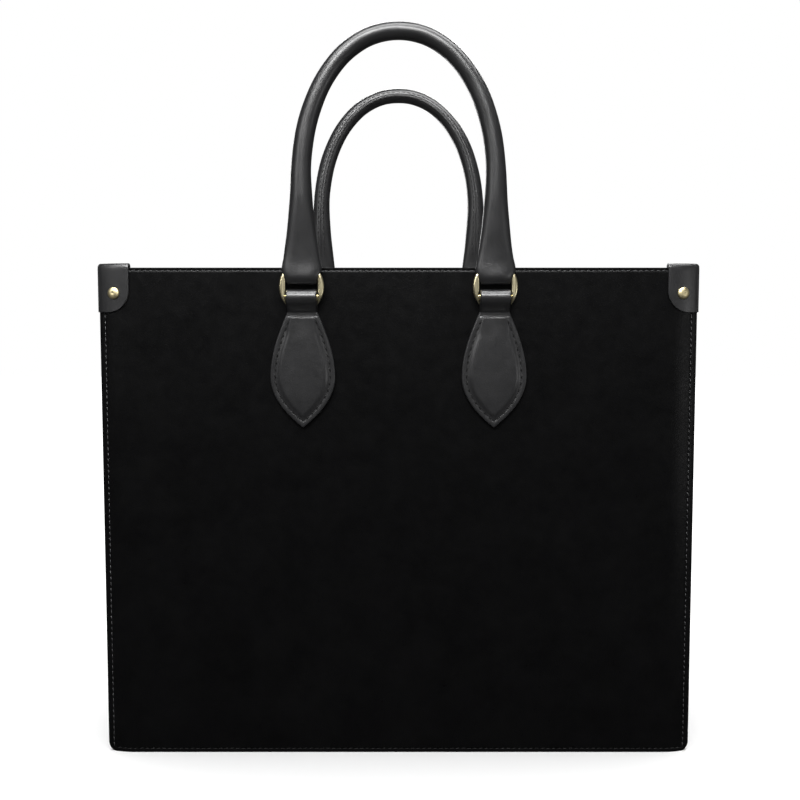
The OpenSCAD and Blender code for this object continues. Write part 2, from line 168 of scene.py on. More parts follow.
class Shape:
    """Vertices and faces that become one piece."""

    def __init__(self):
        self.points = []
        self.faces = []

    def grid(self, rows, wrap=False, skip=None):
        """Joins rows of equally many points with quads. wrap closes each row. skip(i, j) leaves quads out."""
        first = len(self.points)
        width = len(rows[0])
        for row in rows:
            self.points.extend(Vector(p) for p in row)
        for i in range(len(rows) - 1):
            for j in range(width if wrap else width - 1):
                if skip and skip(i, j):
                    continue
                k = (j + 1) % width
                a = first + i * width
                self.faces.append((a + j, a + k, a + width + k, a + width + j))

    def fan(self, loop):
        """Closes a loop of points with one face."""
        first = len(self.points)
        self.points.extend(Vector(p) for p in loop)
        self.faces.append(tuple(range(first, first + len(loop))))

    def tube(self, rings):
        """A closed tube through rings of points."""
        self.grid(rings, wrap=True)
        self.fan(rings[0][::-1])
        self.fan(rings[-1])

    def block(self, low, high):
        """A block between two corners."""
        x, y, z = zip(low, high)
        bottom = [(x[0], y[0], z[0]), (x[1], y[0], z[0]), (x[1], y[1], z[0]), (x[0], y[1], z[0])]
        top = [(p[0], p[1], z[1]) for p in bottom]
        self.tube([bottom, top])

    def build(self, name, body, material, replaces=(), flip=(1, 1), rim=None, closed=True):
        """Makes the piece. flip mirrors it in X and Y, and rim is the material of a sheet's cut edges."""
        mesh = bpy.data.meshes.new(name)
        points = [(p[0] * flip[0], p[1] * flip[1], p[2]) for p in self.points]
        mesh.from_pydata(points, [], self.faces)
        work = bmesh.new()
        work.from_mesh(mesh)
        bmesh.ops.remove_doubles(work, verts=work.verts, dist=1e-6)
        bmesh.ops.dissolve_degenerate(work, edges=work.edges, dist=1e-7)
        if closed:
            bmesh.ops.recalc_face_normals(work, faces=work.faces)
        elif flip[0] * flip[1] < 0:
            bmesh.ops.reverse_faces(work, faces=work.faces)
        work.to_mesh(mesh)
        work.free()
        mesh.shade_smooth()
        piece = new_object(name, mesh)
        mesh.materials.append(material)
        if rim:
            mesh.materials.append(rim)
        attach(piece, body)
        if replaces:
            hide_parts(*replaces)
        return piece

    def sheet(self, name, material, node, thickness, edge, flip=(1, 1), rim=None, closed=False):
        """Makes a sheet of the bag from its middle surface, with its thickness and its cut edges rounded."""
        piece = self.build(name, "bag", material, [node], flip, rim, closed)
        solid = piece.modifiers.new("thickness", "SOLIDIFY")
        solid.thickness = thickness
        solid.offset = 0
        solid.use_even_offset = True
        solid.use_quality_normals = True
        if rim:
            solid.material_offset_rim = 1
        round_edges(piece, edge)
        return piece


def round_edges(piece, width, angle=50):
    bevel = piece.modifiers.new("edges", "BEVEL")
    bevel.width = width
    bevel.segments = 2
    bevel.limit_method = "ANGLE"
    bevel.angle_limit = math.radians(angle)
    bevel.use_clamp_overlap = True


# Shares of a stitch's length, with its thickness and height there as shares of the thread's radius.
STITCH_STATIONS = ((-0.5, 0.4, -0.9), (-0.38, 0.95, 0.2), (0, 1, 0.6), (0.38, 0.95, 0.2), (0.5, 0.4, -0.9))
STITCH_SIDES = 6


def sew(shape, path, pitch, length, radius, lean=8):
    """Adds a row of stitches along path, a list of (point, outward normal). lean tilts each, in degrees."""
    places = [0.0]
    for (p, _), (q, _) in zip(path, path[1:]):
        places.append(places[-1] + (q - p).length)
    count = max(1, round(places[-1] / pitch))
    step = places[-1] / count
    at = 0
    for i in range(count):
        s = (i + 0.5) * step
        while at < len(path) - 2 and places[at + 1] < s:
            at += 1
        (p, pn), (q, qn) = path[at], path[at + 1]
        t = (s - places[at]) / max(1e-9, places[at + 1] - places[at])
        normal = pn.lerp(qn, t).normalized()
        along = (q - p).normalized()
        across = normal.cross(along).normalized()
        along = (along + across * math.tan(math.radians(lean))).normalized()
        across = normal.cross(along).normalized()
        rings = []
        for u, thick, lift in STITCH_STATIONS:
            centre = p.lerp(q, t) + along * (u * length) + normal * (lift * radius)
            r = radius * thick
            rings.append([centre + across * (r * math.cos(a)) + normal * (r * math.sin(a))
                          for a in circle(STITCH_SIDES)])
        shape.tube(rings)


def surface_path(surface, flats):
    """Path of (point, outward normal) on surface(u, v) through the flat points in flats."""
    path = []
    tiny = 0.05 * MM
    for u, v in flats:
        p = surface(u, v)
        du = surface(u + tiny, v) - p
        dv = surface(u, v + tiny) - p
        path.append((p, du.cross(dv).normalized()))
    return path


def line(start, end):
    """Flat points from start to end, about 3 mm apart."""
    count = max(1, round(math.dist(start, end) / (3 * MM)))
    return [(mix(start[0], end[0], i / count), mix(start[1], end[1], i / count)) for i in range(count + 1)]


# ---- Materials ----


class Nodes:
    """A material's node tree, with short calls to add and link nodes. Texture scales are per metre."""

    def __init__(self, name):
        self.material = bpy.data.materials.new(name)
        self.material.use_nodes = True
        self.tree = self.material.node_tree
        self.shader = self.tree.nodes["Principled BSDF"]

    def add(self, kind, **settings):
        node = self.tree.nodes.new(kind)
        inputs = settings.pop("inputs", {})
        for key, value in settings.items():
            setattr(node, key, value)
        for key, value in inputs.items():
            if isinstance(value, bpy.types.NodeSocket):
                self.tree.links.new(value, node.inputs[key])
            else:
                node.inputs[key].default_value = value
        return node

    def set(self, **values):
        for key, value in values.items():
            self.shader.inputs[key.replace("_", " ")].default_value = value

    def link(self, source, target):
        self.tree.links.new(source, self.shader.inputs[target])

    def where(self):
        return self.add("ShaderNodeTexCoord").outputs["Object"]

    def noise(self, scale, detail=4.0, stretch=None):
        place = self.where()
        if stretch:
            mapping = self.add("ShaderNodeMapping", inputs={"Vector": place, "Scale": stretch})
            place = mapping.outputs["Vector"]
        inputs = {"Vector": place, "Scale": scale, "Detail": detail, "Roughness": 0.55}
        return self.add("ShaderNodeTexNoise", inputs=inputs).outputs["Fac"]

    def bands(self, direction, **inputs):
        """Stripes that follow each other in the direction given."""
        inputs = {key.replace("_", " "): value for key, value in inputs.items()}
        inputs["Vector"] = self.where()
        wave = self.add("ShaderNodeTexWave", wave_type="BANDS", bands_direction=direction, inputs=inputs)
        return wave.outputs["Fac"]

    def ramp(self, value, low, high, start=0.35, end=0.65):
        """Maps value between start and end to the range from low to high, numbers or colours."""
        if isinstance(low, tuple):
            node = self.add("ShaderNodeValToRGB", inputs={"Fac": value})
            for stop, place, colour in zip(node.color_ramp.elements, (start, end), (low, high)):
                stop.position = place
                stop.color = (*colour, 1)
            return node.outputs["Color"]
        inputs = {"Value": value, 1: start, 2: end, 3: low, 4: high}
        return self.add("ShaderNodeMapRange", inputs=inputs).outputs["Result"]

    def bump(self, height, distance, strength, under=None):
        inputs = {"Height": height, "Distance": distance, "Strength": strength}
        if under:
            inputs["Normal"] = under
        return self.add("ShaderNodeBump", inputs=inputs).outputs["Normal"]


def scaled(colour, share):
    return tuple(c * share for c in colour)


def leather(name, dark, light, rough, specular, coat=0.0):
    """Smooth calf: fine pores, faint creases, a little variation in colour and gloss."""
    grain = 0.06 * MM
    n = Nodes(name)
    n.link(n.ramp(n.noise(45, 5), dark, light, 0.3, 0.7), "Base Color")
    cells = n.add("ShaderNodeTexVoronoi", feature="DISTANCE_TO_EDGE",
                  inputs={"Vector": n.where(), "Scale": 1150, "Randomness": 0.95})
    pores = n.ramp(cells.outputs["Distance"], 0.0, 1.0, 0.0, 0.28)
    normal = n.bump(n.noise(28, 3), 0.35 * MM, 0.3)
    normal = n.bump(n.noise(260, 6), 3 * grain, 0.4, normal)
    n.link(n.bump(pores, grain, 0.55, normal), "Normal")
    n.link(n.ramp(n.noise(120, 5), rough - 0.04, rough + 0.05, 0.3, 0.7), "Roughness")
    n.set(Specular_IOR_Level=specular, Coat_Weight=coat, Coat_Roughness=0.24)
    return n.material


def edge_paint(name, colour):
    """The glossy sealed edge of cut leather, a little uneven along its length."""
    n = Nodes(name)
    n.link(n.ramp(n.noise(300, 3), scaled(colour, 0.8), scaled(colour, 1.3)), "Base Color")
    n.link(n.bump(n.noise(420, 3), 0.12 * MM, 0.5), "Normal")
    n.link(n.ramp(n.noise(200, 2), 0.3, 0.42), "Roughness")
    return n.material


def metal(name, colour, rough):
    """Plated metal with fine hairlines and faint handling marks."""
    n = Nodes(name)
    n.set(Metallic=1.0)
    n.link(n.ramp(n.noise(90, 4), scaled(colour, 0.95), colour), "Base Color")
    n.link(n.ramp(n.noise(500, 3, (1, 1, 0.05)), rough * 0.9, rough * 1.15), "Roughness")
    n.link(n.bump(n.noise(900, 2, (1, 1, 0.04)), 0.004 * MM, 0.4), "Normal")
    return n.material


def thread(name, colour, gloss=0.5):
    """Waxed twisted thread."""
    n = Nodes(name)
    n.link(n.ramp(n.noise(1500, 2), scaled(colour, 0.7), scaled(colour, 1.25)), "Base Color")
    ply = n.bands("DIAGONAL", Scale=700, Distortion=0.5)
    n.link(n.bump(ply, 0.06 * MM, 0.7), "Normal")
    n.set(Roughness=0.55, Specular_IOR_Level=gloss)
    return n.material


def cloth(name, dark, light, weave, relief):
    """Twill: fine diagonal ribs crossed by a finer thread, with a soft sheen."""
    n = Nodes(name)
    ribs = n.bands("DIAGONAL", Scale=weave, Distortion=0.6, Detail=2.0, Detail_Scale=4.0)
    cross = n.bands("Z", Scale=weave * 1.9, Distortion=0.8)
    n.link(n.ramp(ribs, dark, light, 0.1, 0.9), "Base Color")
    normal = n.bump(n.noise(60, 4), 0.8 * MM, 0.3)
    normal = n.bump(cross, relief * 0.5, 0.5, normal)
    n.link(n.bump(ribs, relief, 0.8, normal), "Normal")
    n.link(n.ramp(n.noise(200, 3), 0.72, 0.88), "Roughness")
    n.set(Specular_IOR_Level=0.25, Sheen_Weight=0.03, Sheen_Roughness=0.5)
    return n.material


def board(name, colour):
    """Pressed fibre board."""
    n = Nodes(name)
    n.link(n.ramp(n.noise(500, 6), scaled(colour, 0.75), colour), "Base Color")
    n.link(n.bump(n.noise(800, 5), 0.1 * MM, 0.6), "Normal")
    n.set(Roughness=0.9)
    return n.material


BLACK = leather("black_calf", (0.001, 0.001, 0.0011), (0.0016, 0.0016, 0.0017), 0.31, specular=0.13)
CHARCOAL = leather("charcoal_calf", (0.0055, 0.0055, 0.0059), (0.0078, 0.0078, 0.0083), 0.35,
                   specular=0.5, coat=0.3)
BLACK_EDGE = edge_paint("black_edge_paint", (0.006, 0.006, 0.006))
CHARCOAL_EDGE = edge_paint("charcoal_edge_paint", (0.02, 0.02, 0.021))
GOLD = metal("pale_gold", (0.94, 0.84, 0.55), 0.28)
SATIN_GOLD = metal("satin_gold", (0.74, 0.64, 0.38), 0.42)
STEEL = metal("washer_steel", (0.6, 0.6, 0.6), 0.35)
BLACK_THREAD = thread("black_thread", (0.003, 0.003, 0.003), gloss=0.2)
# Black thread lightened to grey: painted sheen for the light that the panel's upper stitches catch.
PAINTED_SHEEN_THREAD = thread("grey_thread", (0.013, 0.013, 0.014))
TWILL = cloth("lining_twill", (0.012, 0.011, 0.0105), (0.03, 0.028, 0.026), 330, 0.14 * MM)
TAPE = cloth("zip_tape_weave", (0.006, 0.006, 0.006), (0.02, 0.02, 0.02), 520, 0.1 * MM)
BOARD = board("fibre_board", (0.3, 0.29, 0.27))
COTTON = cloth("core_cotton", (0.36, 0.32, 0.25), (0.6, 0.55, 0.45), 420, 0.3 * MM)


STITCH = {"pitch": 3.9 * MM, "length": 2.9 * MM, "radius": 0.3 * MM}
FINE_STITCH = {"pitch": 3.2 * MM, "length": 2.3 * MM, "radius": 0.22 * MM}
TAB_STITCH = {"pitch": 4.8 * MM, "length": 3.3 * MM, "radius": 0.38 * MM, "lean": 12}
HANDLE_STITCH = {"pitch": 4.2 * MM, "length": 3.0 * MM, "radius": 0.28 * MM, "lean": 6}


def stitching(name, routes, stitch, flip=(1, 1), colour=BLACK_THREAD, body="bag"):
    """A piece with one row of stitches along each route."""
    seam = Shape()
    for route in routes:
        sew(seam, route, **stitch)
    seam.build(f"{name}_stitching", body, colour, flip=flip)


# ---- The front panel's surface ----


def bend(x):
    """How far the panel's face is set back at x: its side strips curve away from the front."""
    t = max(0.0, (abs(x) - (HALF_W - BEND_W)) / BEND_W)
    return SETBACK * t * t


def bend_angle(x):
    return math.atan(2 * SETBACK * (abs(x) - (HALF_W - BEND_W)) / BEND_W**2)


SIDE_SEAM = 3.8 * MM
TOP_SEAM = 2.0 * MM
BOTTOM_SEAM = 2.5 * MM
SEAM_DEPTH = 0.3 * MM
SEAM_WIDTH = 0.5 * MM


def rounded_corner(x, z):
    """Moves flat points near the two bottom corners so that the outline there is round."""
    u = (abs(x) - (HALF_W - CORNER_R)) / CORNER_R
    v = (CORNER_R - z) / CORNER_R
    if u <= 0 or v <= 0:
        return x, z
    across = HALF_W - CORNER_R + CORNER_R * u * math.sqrt(1 - v * v / 2)
    return math.copysign(across, x), CORNER_R - CORNER_R * v * math.sqrt(1 - u * u / 2)


def seam_groove(x, z):
    """Depth of the stitch groove that runs round the panel inside its edges."""
    side = bell(HALF_W - abs(x) - SIDE_SEAM, SEAM_WIDTH) if z > BOTTOM_SEAM else 0
    level = min(abs(z - BOTTOM_SEAM), abs(TOP - z - TOP_SEAM))
    flat = bell(level, SEAM_WIDTH) if abs(x) < HALF_W - SIDE_SEAM else 0
    return SEAM_DEPTH * max(side, flat)


def ripple(x, z):
    """Slow, shallow waves in the leather, which die out at the panel's edges and tabs."""
    fade = 60 * MM
    below_tabs = TOP - 115 * MM - z
    edge = smooth((HALF_W - abs(x)) / fade) * smooth(z / fade) * smooth(below_tabs / fade)
    wave = math.sin(x * 23 + 1.3) * math.sin(z * 19 + 0.4) + 0.6 * math.sin(x * 41 - z * 33)
    return 0.45 * MM * edge * (1 + wave)


def panel_face(x, z, behind=0.0):
    """Point of the front panel's face at the flat place x, z, or on a layer behind it."""
    px, pz = rounded_corner(x, z)
    return Vector((px, FACE_Y + bend(px) + ripple(px, pz) + behind, pz))


def panel_seam(x, z):
    """The bottom of the panel's stitch groove."""
    return panel_face(x, z, seam_groove(x, z))


# The mesh is finer near the panel's edges, where its grooves and its bend are.
EDGE_MARKS = mm(0, 0.6, 1.3, 1.7, 2.0, 2.4, 2.9, 3.3, 3.6, 4.0, 4.4, 5.0, 6.2, 8, 10.5, 13, 15.5, 18)
PATCH_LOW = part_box("front_left_patch")[0][2]
PATCH_IN = -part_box("front_left_patch")[1][0]


def make_panel(end, flip):
    """The panel, and its stitches: black thread, lightened to grey round the sides and top as painted sheen,
    and left black along the bottom.
    """
    xs = graded(-HALF_W, HALF_W, EDGE_MARKS, 9 * MM)
    zs = graded(0, TOP, EDGE_MARKS, 9 * MM)
    shape = Shape()
    shape.grid([[panel_face(x, z, PANEL_T / 2 + seam_groove(x, z)) for x in xs] for z in zs])
    shape.sheet(f"{end}_panel_leather", BLACK, f"{end}_panel", PANEL_T, 0.6 * MM,
                flip, BLACK_EDGE)

    low, high = BOTTOM_SEAM, PATCH_LOW - 1 * MM
    side, inner = HALF_W - SIDE_SEAM, PATCH_IN - 1 * MM
    upper = (((-side, high), (-side, low)), ((side, high), (side, low)),
             ((-inner, TOP - TOP_SEAM), (inner, TOP - TOP_SEAM)))
    bottom = (((2 * MM - side, low), (side - 2 * MM, low)),)
    # The upper rows get the thread lightened to grey as painted sheen; the bottom row keeps the thread's own
    # black.
    for name, colour, rows in (("panel", PAINTED_SHEEN_THREAD, upper), ("low", BLACK_THREAD, bottom)):
        routes = [surface_path(panel_seam, line(*row)) for row in rows]
        stitching(f"{end}_{name}", routes, STITCH, flip=flip, colour=colour)


# ---- Gussets, base, facing and lining ----

DIP = 4.5 * MM
DIP_HALF = 66 * MM
CREASE_R = 1.6 * MM
FACING_R = 10.6 * MM
LINING_R = 11.6 * MM
FLOOR_R = 5 * MM


def dip(y, z):
    """How far the middle of a gusset, and what lies behind it, folds inward towards the mouth."""
    across = math.cos(min(1.0, abs(y) / DIP_HALF) * math.pi / 2) ** 2
    return DIP * across * smooth(z / TOP) ** 1.3


def inward(x, y, z):
    """The dip as a shift in x on the side of the bag where x is."""
    return -math.copysign(dip(y, z), x)


def make_gusset(side, flip):
    """A side of the bag: a web between two flanges that lie behind the panels' side strips."""
    web = WEB_OUT - GUSSET_T / 2
    behind = PANEL_T + GUSSET_T / 2
    turn_x = web + CREASE_R
    half = [(x, FACE_Y + bend(x) + behind) for x in steps(HALF_W - 0.1 * MM, turn_x, 5)]
    y0 = half[-1][1]
    for a in QUARTER[1:]:
        half.append((turn_x - CREASE_R * math.sin(a), y0 + CREASE_R * (1 - math.cos(a))))
    half += [(web, y) for y in steps(half[-1][1], 0, 16)[1:]]
    outline = half + [(x, -y) for x, y in reversed(half[:-1])]
    shape = Shape()
    rows = []
    for z in graded(BASE_TOP, TOP, mm(0, 1.5, 4, 9), 9 * MM):
        rows.append([(-x + (dip(y, z) if x <= web else 0), y, z) for x, y in outline])
    shape.grid(rows)
    shape.sheet(f"{side}_gusset_leather", BLACK, f"{side}_gusset", GUSSET_T, 0.45 * MM,
                flip, BLACK_EDGE)


def make_base():
    """The base, set up behind the panels' lower edges, with a flange turned down at the front and back."""
    behind = PANEL_T + GUSSET_T / 2
    z_web = BASE_TOP - GUSSET_T / 2
    shape = Shape()
    rows = []
    for x in steps(-WEB_OUT, WEB_OUT, 60):
        y0 = FACE_Y + bend(x) + behind
        half = [(x, y0, z) for z in (0.1 * MM, 1.6 * MM, z_web - CREASE_R)]
        for a in QUARTER[1:]:
            half.append((x, y0 + CREASE_R * (1 - math.cos(a)), z_web - CREASE_R * math.cos(a)))
        half += [(x, y, z_web) for y in steps(half[-1][1], 0, 10)[1:]]
        rows.append(half + [(x, -y, z) for x, y, z in reversed(half[:-1])])
    shape.grid(rows)
    for end in (1, -1):
        for side in (1, -1):
            xs = [side * x for x in steps(WEB_OUT, HALF_W - 0.1 * MM, 5)]
            corner = [[panel_face(x, z, behind) for x in xs] for z in steps(0.1 * MM, BASE_TOP, 6)]
            shape.grid([[(p.x, end * p.y, p.z) for p in row] for row in corner])
    shape.sheet("base_leather", BLACK, "base_panel", GUSSET_T, 0.45 * MM,
                rim=BLACK_EDGE, closed=True)


def round_mouth(half_x, half_y, radius, marks=()):
    """Points (x, y) round the front half of a rounded rectangle, from its left side to its right."""
    out = []
    for y in steps(0, -(half_y - radius), 10)[:-1]:
        out.append((-half_x, y))
    for a in steps(0, math.pi / 2, 8)[:-1]:
        out.append((-half_x + radius * (1 - math.cos(a)), -(half_y - radius) - radius * math.sin(a)))
    flat = half_x - radius
    xs = sorted(set(steps(-flat, flat, round(2 * flat / (6 * MM)))) | set(marks))
    out += [(x, -half_y) for x in xs]
    return out + [(-x, y) for x, y in reversed(out[: len(out) - len(xs)])]


def make_facing(end, flip):
    """The leather band inside the mouth, with a lip that turns out over the top to meet the panel."""
    half_x = LINING_HIGH[0] - LINING_T - FACING_T / 2
    half_y = FACING_IN + FACING_T / 2
    flat_x, flat_y = half_x - FACING_R, half_y - FACING_R
    path = round_mouth(half_x, half_y, FACING_R)

    def outer(x, y):
        """Where the lip ends, straight out from the inner point: at the gusset or at the panel."""
        cx = max(-flat_x, min(flat_x, x))
        cy = max(-flat_y, min(0, y))
        dx, dy = x - cx, y - cy
        to_gusset = (WEB_IN - abs(cx)) / abs(dx) if dx else math.inf
        to_panel = (-FACE_Y - PANEL_T - abs(cy)) / abs(dy) if dy else math.inf
        reach = min(to_gusset, to_panel)
        ox, oy = cx + dx * reach, cy + dy * reach
        return ox, max(oy, FACE_Y + bend(ox) + PANEL_T)

    rows = []
    for z in steps(FACING_LOW, TOP - 2 * MM, 9):
        rows.append([(x + inward(x, y, z), y, z) for x, y in path])
    for share, drop in ((0.12, 1.0 * MM), (0.35, 0.3 * MM), (0.65, 0.0), (1.0, 0.0)):
        row = []
        for x, y in path:
            ox, oy = outer(x, y)
            row.append((mix(x, ox, share) + inward(x, y, TOP), mix(y, oy, share), TOP - FACING_T / 2 - drop))
        rows.append(row)
    shape = Shape()
    shape.grid(rows)
    shape.sheet(f"{end}_facing_leather", BLACK, f"{end}_facing", FACING_T, 0.35 * MM,
                flip, BLACK_EDGE)

    routes = [[], []]
    for route, z in zip(routes, (FACING_LOW + 2.5 * MM, TOP - 3.5 * MM)):
        for (x, y), (x2, y2) in zip(path, path[1:]):
            normal = Vector((y - y2, x2 - x, 0)).normalized()
            route.append((Vector((x + inward(x, y, z), y, z)) + normal * (FACING_T / 2), normal))
    stitching(f"{end}_facing", routes, STITCH, flip=flip)


ZIP_LOW, ZIP_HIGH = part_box("zip_chain")
ZIP_Z = (ZIP_LOW[2] + ZIP_HIGH[2]) / 2
WELT_LOW, WELT_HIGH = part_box("zip_welt")
WELT_HALF_X = WELT_HIGH[0]
WELT_HALF_Z = (WELT_HIGH[2] - WELT_LOW[2]) / 2
WELT_W = 7 * MM
WINDOW_HALF_X = WELT_HALF_X - WELT_W
WINDOW_HALF_Z = WELT_HALF_Z - WELT_W


def lining_fold(s, z):
    """Soft upright folds in the lining, at s round its girth."""
    slack = smooth((TOP - 30 * MM - z) / (60 * MM)) * smooth((z - LINING_LOW[2]) / (30 * MM))
    wave = math.sin(s * 31 + 2 * math.sin(z * 21)) + 0.6 * math.sin(s * 67 + 1.7 + 3 * math.sin(z * 13))
    fine = math.sin(s * 140 + 4 * math.sin(z * 17 + 1)) * math.sin(z * 26 + s * 9) ** 2
    return slack * (1.0 * MM * wave + 0.35 * MM * fine)


def make_lining():
    """Walls with soft folds, a window for the zip in the back one, and a floor."""
    half_x = LINING_HIGH[0] - LINING_T / 2
    half_y = LINING_HIGH[1] - LINING_T / 2
    front = round_mouth(half_x, half_y, LINING_R, marks=(-WINDOW_HALF_X, WINDOW_HALF_X))
    path = front + [(-x, -y) for x, y in front[1:-1]]
    low = LINING_LOW[2] + LINING_T / 2
    window = {ZIP_Z - WINDOW_HALF_Z, ZIP_Z + WINDOW_HALF_Z}
    heights = sorted(set(steps(low + FLOOR_R, LINING_HIGH[2], 60)) | window)

    def wall(z):
        row, s = [], 0.0
        for i, (x, y) in enumerate(path):
            s += math.dist(path[i - 1], (x, y)) if i else 0
            near_zip = smooth((abs(z - ZIP_Z) - 14 * MM) / (30 * MM)) if y > 0 else 1
            fold = max(0.0, lining_fold(s, z) + 0.6 * MM) * near_zip
            sunk = dip(y, z) if abs(x) > half_x - 1 * MM else 0
            row.append((x * (1 - (fold + sunk) / half_x), y * (1 - fold / half_y), z))
        return row

    rows = [wall(z) for z in reversed(heights)]
    for a in steps(0, math.pi / 2, 4)[1:]:
        pull = FLOOR_R * (1 - math.cos(a))
        z = low + FLOOR_R * (1 - math.sin(a))
        rows.append([(x * (1 - pull / half_x), y * (1 - pull / half_y), z) for x, y in path])
    for inset in mm(12, 25, 40, 55) + [half_y]:
        share_y = 1 - inset / half_y
        row = []
        for x, y in path:
            px = math.copysign(min(abs(x), half_x - inset), x)
            wave = 0.35 * MM * (1 + math.sin(px * 37) * math.sin(y * share_y * 45 + 1))
            row.append((px, y * share_y, low + wave * smooth(inset / (25 * MM))))
        rows.append(row)

    def in_window(i, j):
        z = (rows[i][j][2] + rows[i + 1][j][2]) / 2
        x = (path[j][0] + path[(j + 1) % len(path)][0]) / 2
        return path[j][1] > half_y - 1 * MM and abs(z - ZIP_Z) < WINDOW_HALF_Z and abs(x) < WINDOW_HALF_X

    shape = Shape()
    shape.grid(rows, wrap=True, skip=in_window)
    piece = shape.sheet("lining_cloth", TWILL, "lining", LINING_T, 0.15 * MM, closed=True)


# ---- Corner patches and studs ----

STACK = PANEL_T + GUSSET_T
# A turned profile starts and ends this close to its axis.
AXIS_R = 0.2 * MM
STUD_X = HALF_W - 10.8 * MM
STUD_Z = sum(corner[2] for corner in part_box("front_left_stud")) / 2
STUD_R = 4.0 * MM
PATCH_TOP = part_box("front_left_patch")[1][2]
PATCH_R = 14 * MM


def make_patch(place, flip):
    """Leather wrapped round the seam at a corner of the mouth, and over its top."""
    t = PATCH_T / 2
    fold_r = 1.3 * MM
    face = [(x, FACE_Y + bend(x) - t) for x in steps(PATCH_IN, HALF_W - 1 * MM, 12)]
    last_x, last_y = face[-1]
    back_y = FACE_Y + bend(HALF_W) + STACK + t
    corner_x = HALF_W + t
    turn = [(fold_r * (1 - math.sin(a)), fold_r * (1 - math.cos(a))) for a in QUARTER]
    plan = face + [(corner_x - far, last_y + 0.4 * MM + near) for far, near in turn]
    plan += [(corner_x - near, back_y - far) for far, near in turn]
    plan += [(x, FACE_Y + bend(x) + STACK + t) for x in (HALF_W - 2 * MM, WEB_OUT + 1 * MM)]
    low, high = PATCH_LOW, TOP - 0.5 * MM
    shape = Shape()
    rows = []
    for z in [low + up for up in mm(0, 0.4, 1, 2, 3.5, 5, 7, 9.5, 12)] + steps(low + 15 * MM, high, 6):
        row = []
        for x, y in plan:
            u = (PATCH_IN + PATCH_R - x) / PATCH_R
            v = (low + PATCH_R - z) / PATCH_R
            px, pz = x, z
            if y < FACE_Y + SETBACK and u > 0 and v > 0:
                px = PATCH_IN + PATCH_R - PATCH_R * u * math.sqrt(1 - v * v / 2)
                pz = low + PATCH_R - PATCH_R * v * math.sqrt(1 - u * u / 2)
                y = FACE_Y + bend(px) - t
            row.append((-px, y, pz))
        rows.append(row)
    shape.grid(rows)
    depth = STACK + 2 * t

    def crest(a):
        """Height of the fold over the top, which goes over from a = 0 to a = pi."""
        return high + (PATCH_TOP - t - high) * math.sin(a) ** 0.6

    fold = []
    for a in steps(0, math.pi, 10):
        fold.append([(-x, y + depth / 2 * (1 - math.cos(a)), crest(a)) for x, y in face])
    fold.append([(-x, y + depth, high - 0.2 * MM) for x, y in face])
    shape.grid(fold)
    around = plan[len(face) - 1 : -2] + [(last_x, last_y + depth)]
    cap = []
    for a in QUARTER:
        out = math.cos(a)
        cap.append([(-mix(last_x, x, out), mix(last_y + depth / 2, y, out), crest(a)) for x, y in around])
    shape.grid(cap)
    shape.sheet(f"{place}_patch_leather", CHARCOAL, f"{place}_patch", PATCH_T, 0.4 * MM,
                flip, CHARCOAL_EDGE, closed=True)


def make_stud(place, flip):
    """Domed stud with a small dimple in its middle."""
    a = bend_angle(STUD_X)
    at = Vector((-STUD_X - PATCH_T * math.sin(a), FACE_Y + bend(STUD_X) - PATCH_T * math.cos(a), STUD_Z))
    outward = Matrix.Translation(at) @ Matrix.Rotation(-a, 4, "Z") @ Matrix.Rotation(math.pi / 2, 4, "X")
    profile = [(AXIS_R, -0.3 * MM), (STUD_R * 0.97, -0.3 * MM), (STUD_R, 0.0), (STUD_R, 0.3 * MM)]
    for share in steps(0.985, 0.02, 18):
        dome = 1.5 * MM * math.sqrt(1 - share * share)
        dimple = 0.25 * MM * bell(share * STUD_R, 0.9 * MM)
        profile.append((STUD_R * share, 0.4 * MM + dome - dimple))
    shape = Shape()
    shape.tube(turned(profile, 40, outward))
    shape.build(f"{place}_stud_metal", "bag", SATIN_GOLD, [f"{place}_stud"], flip)


# ---- Tabs ----

TAB_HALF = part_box("front_left_tab")[1][0] + LEG_X
TAB_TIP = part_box("front_left_tab")[0][2]
NECK_HALF = 10 * MM
TAB_NECK_Z = TOP - 29.5 * MM
PAD_TOP_Z = TOP - 32.2 * MM
TAB_WIDE_Z = TOP - 73 * MM
TAB_T = 3.0 * MM
EDGE_R = 0.7 * MM
TAB_LOOP_R = 5.3 * MM
BORE_R = 2.25 * MM
PAD_RISE = 1.7 * MM
TAB_SEAM = 3.3 * MM
TAB_INSETS = mm(0, 0.25, 0.7, 1.4, 2.2, 2.8, 3.1, 3.4, 3.7, 4.1, 4.7, 5.4, 6.2, 7.2, 8.4)
SPINE_SHARES = (0.3, 0.6, 0.85, 1.0)


def tab_width(z):
    """Half width of the teardrop at the height z."""
    if z > TAB_WIDE_Z:
        t = (TAB_NECK_Z - z) / (TAB_NECK_Z - TAB_WIDE_Z)
        return NECK_HALF + (TAB_HALF - NECK_HALF) * math.sin(t * math.pi / 2)
    s = (TAB_WIDE_Z - z) / (TAB_WIDE_Z - TAB_TIP)
    return TAB_HALF * (1 - s * s)


def inset_width(z, inset):
    """Half width of the curve that runs inset inside the teardrop's edge."""
    tiny = 0.02 * MM
    slope = (tab_width(z - tiny) - tab_width(z + tiny)) / (2 * tiny)
    return tab_width(z) - inset * math.sqrt(1 + slope * slope)


def inset_tip(inset):
    """Height at which the inset curve comes to its point."""
    low, high = TAB_TIP, TAB_WIDE_Z
    for _ in range(40):
        middle = (low + high) / 2
        if inset_width(middle, inset) > 0:
            high = middle
        else:
            low = middle
    return high


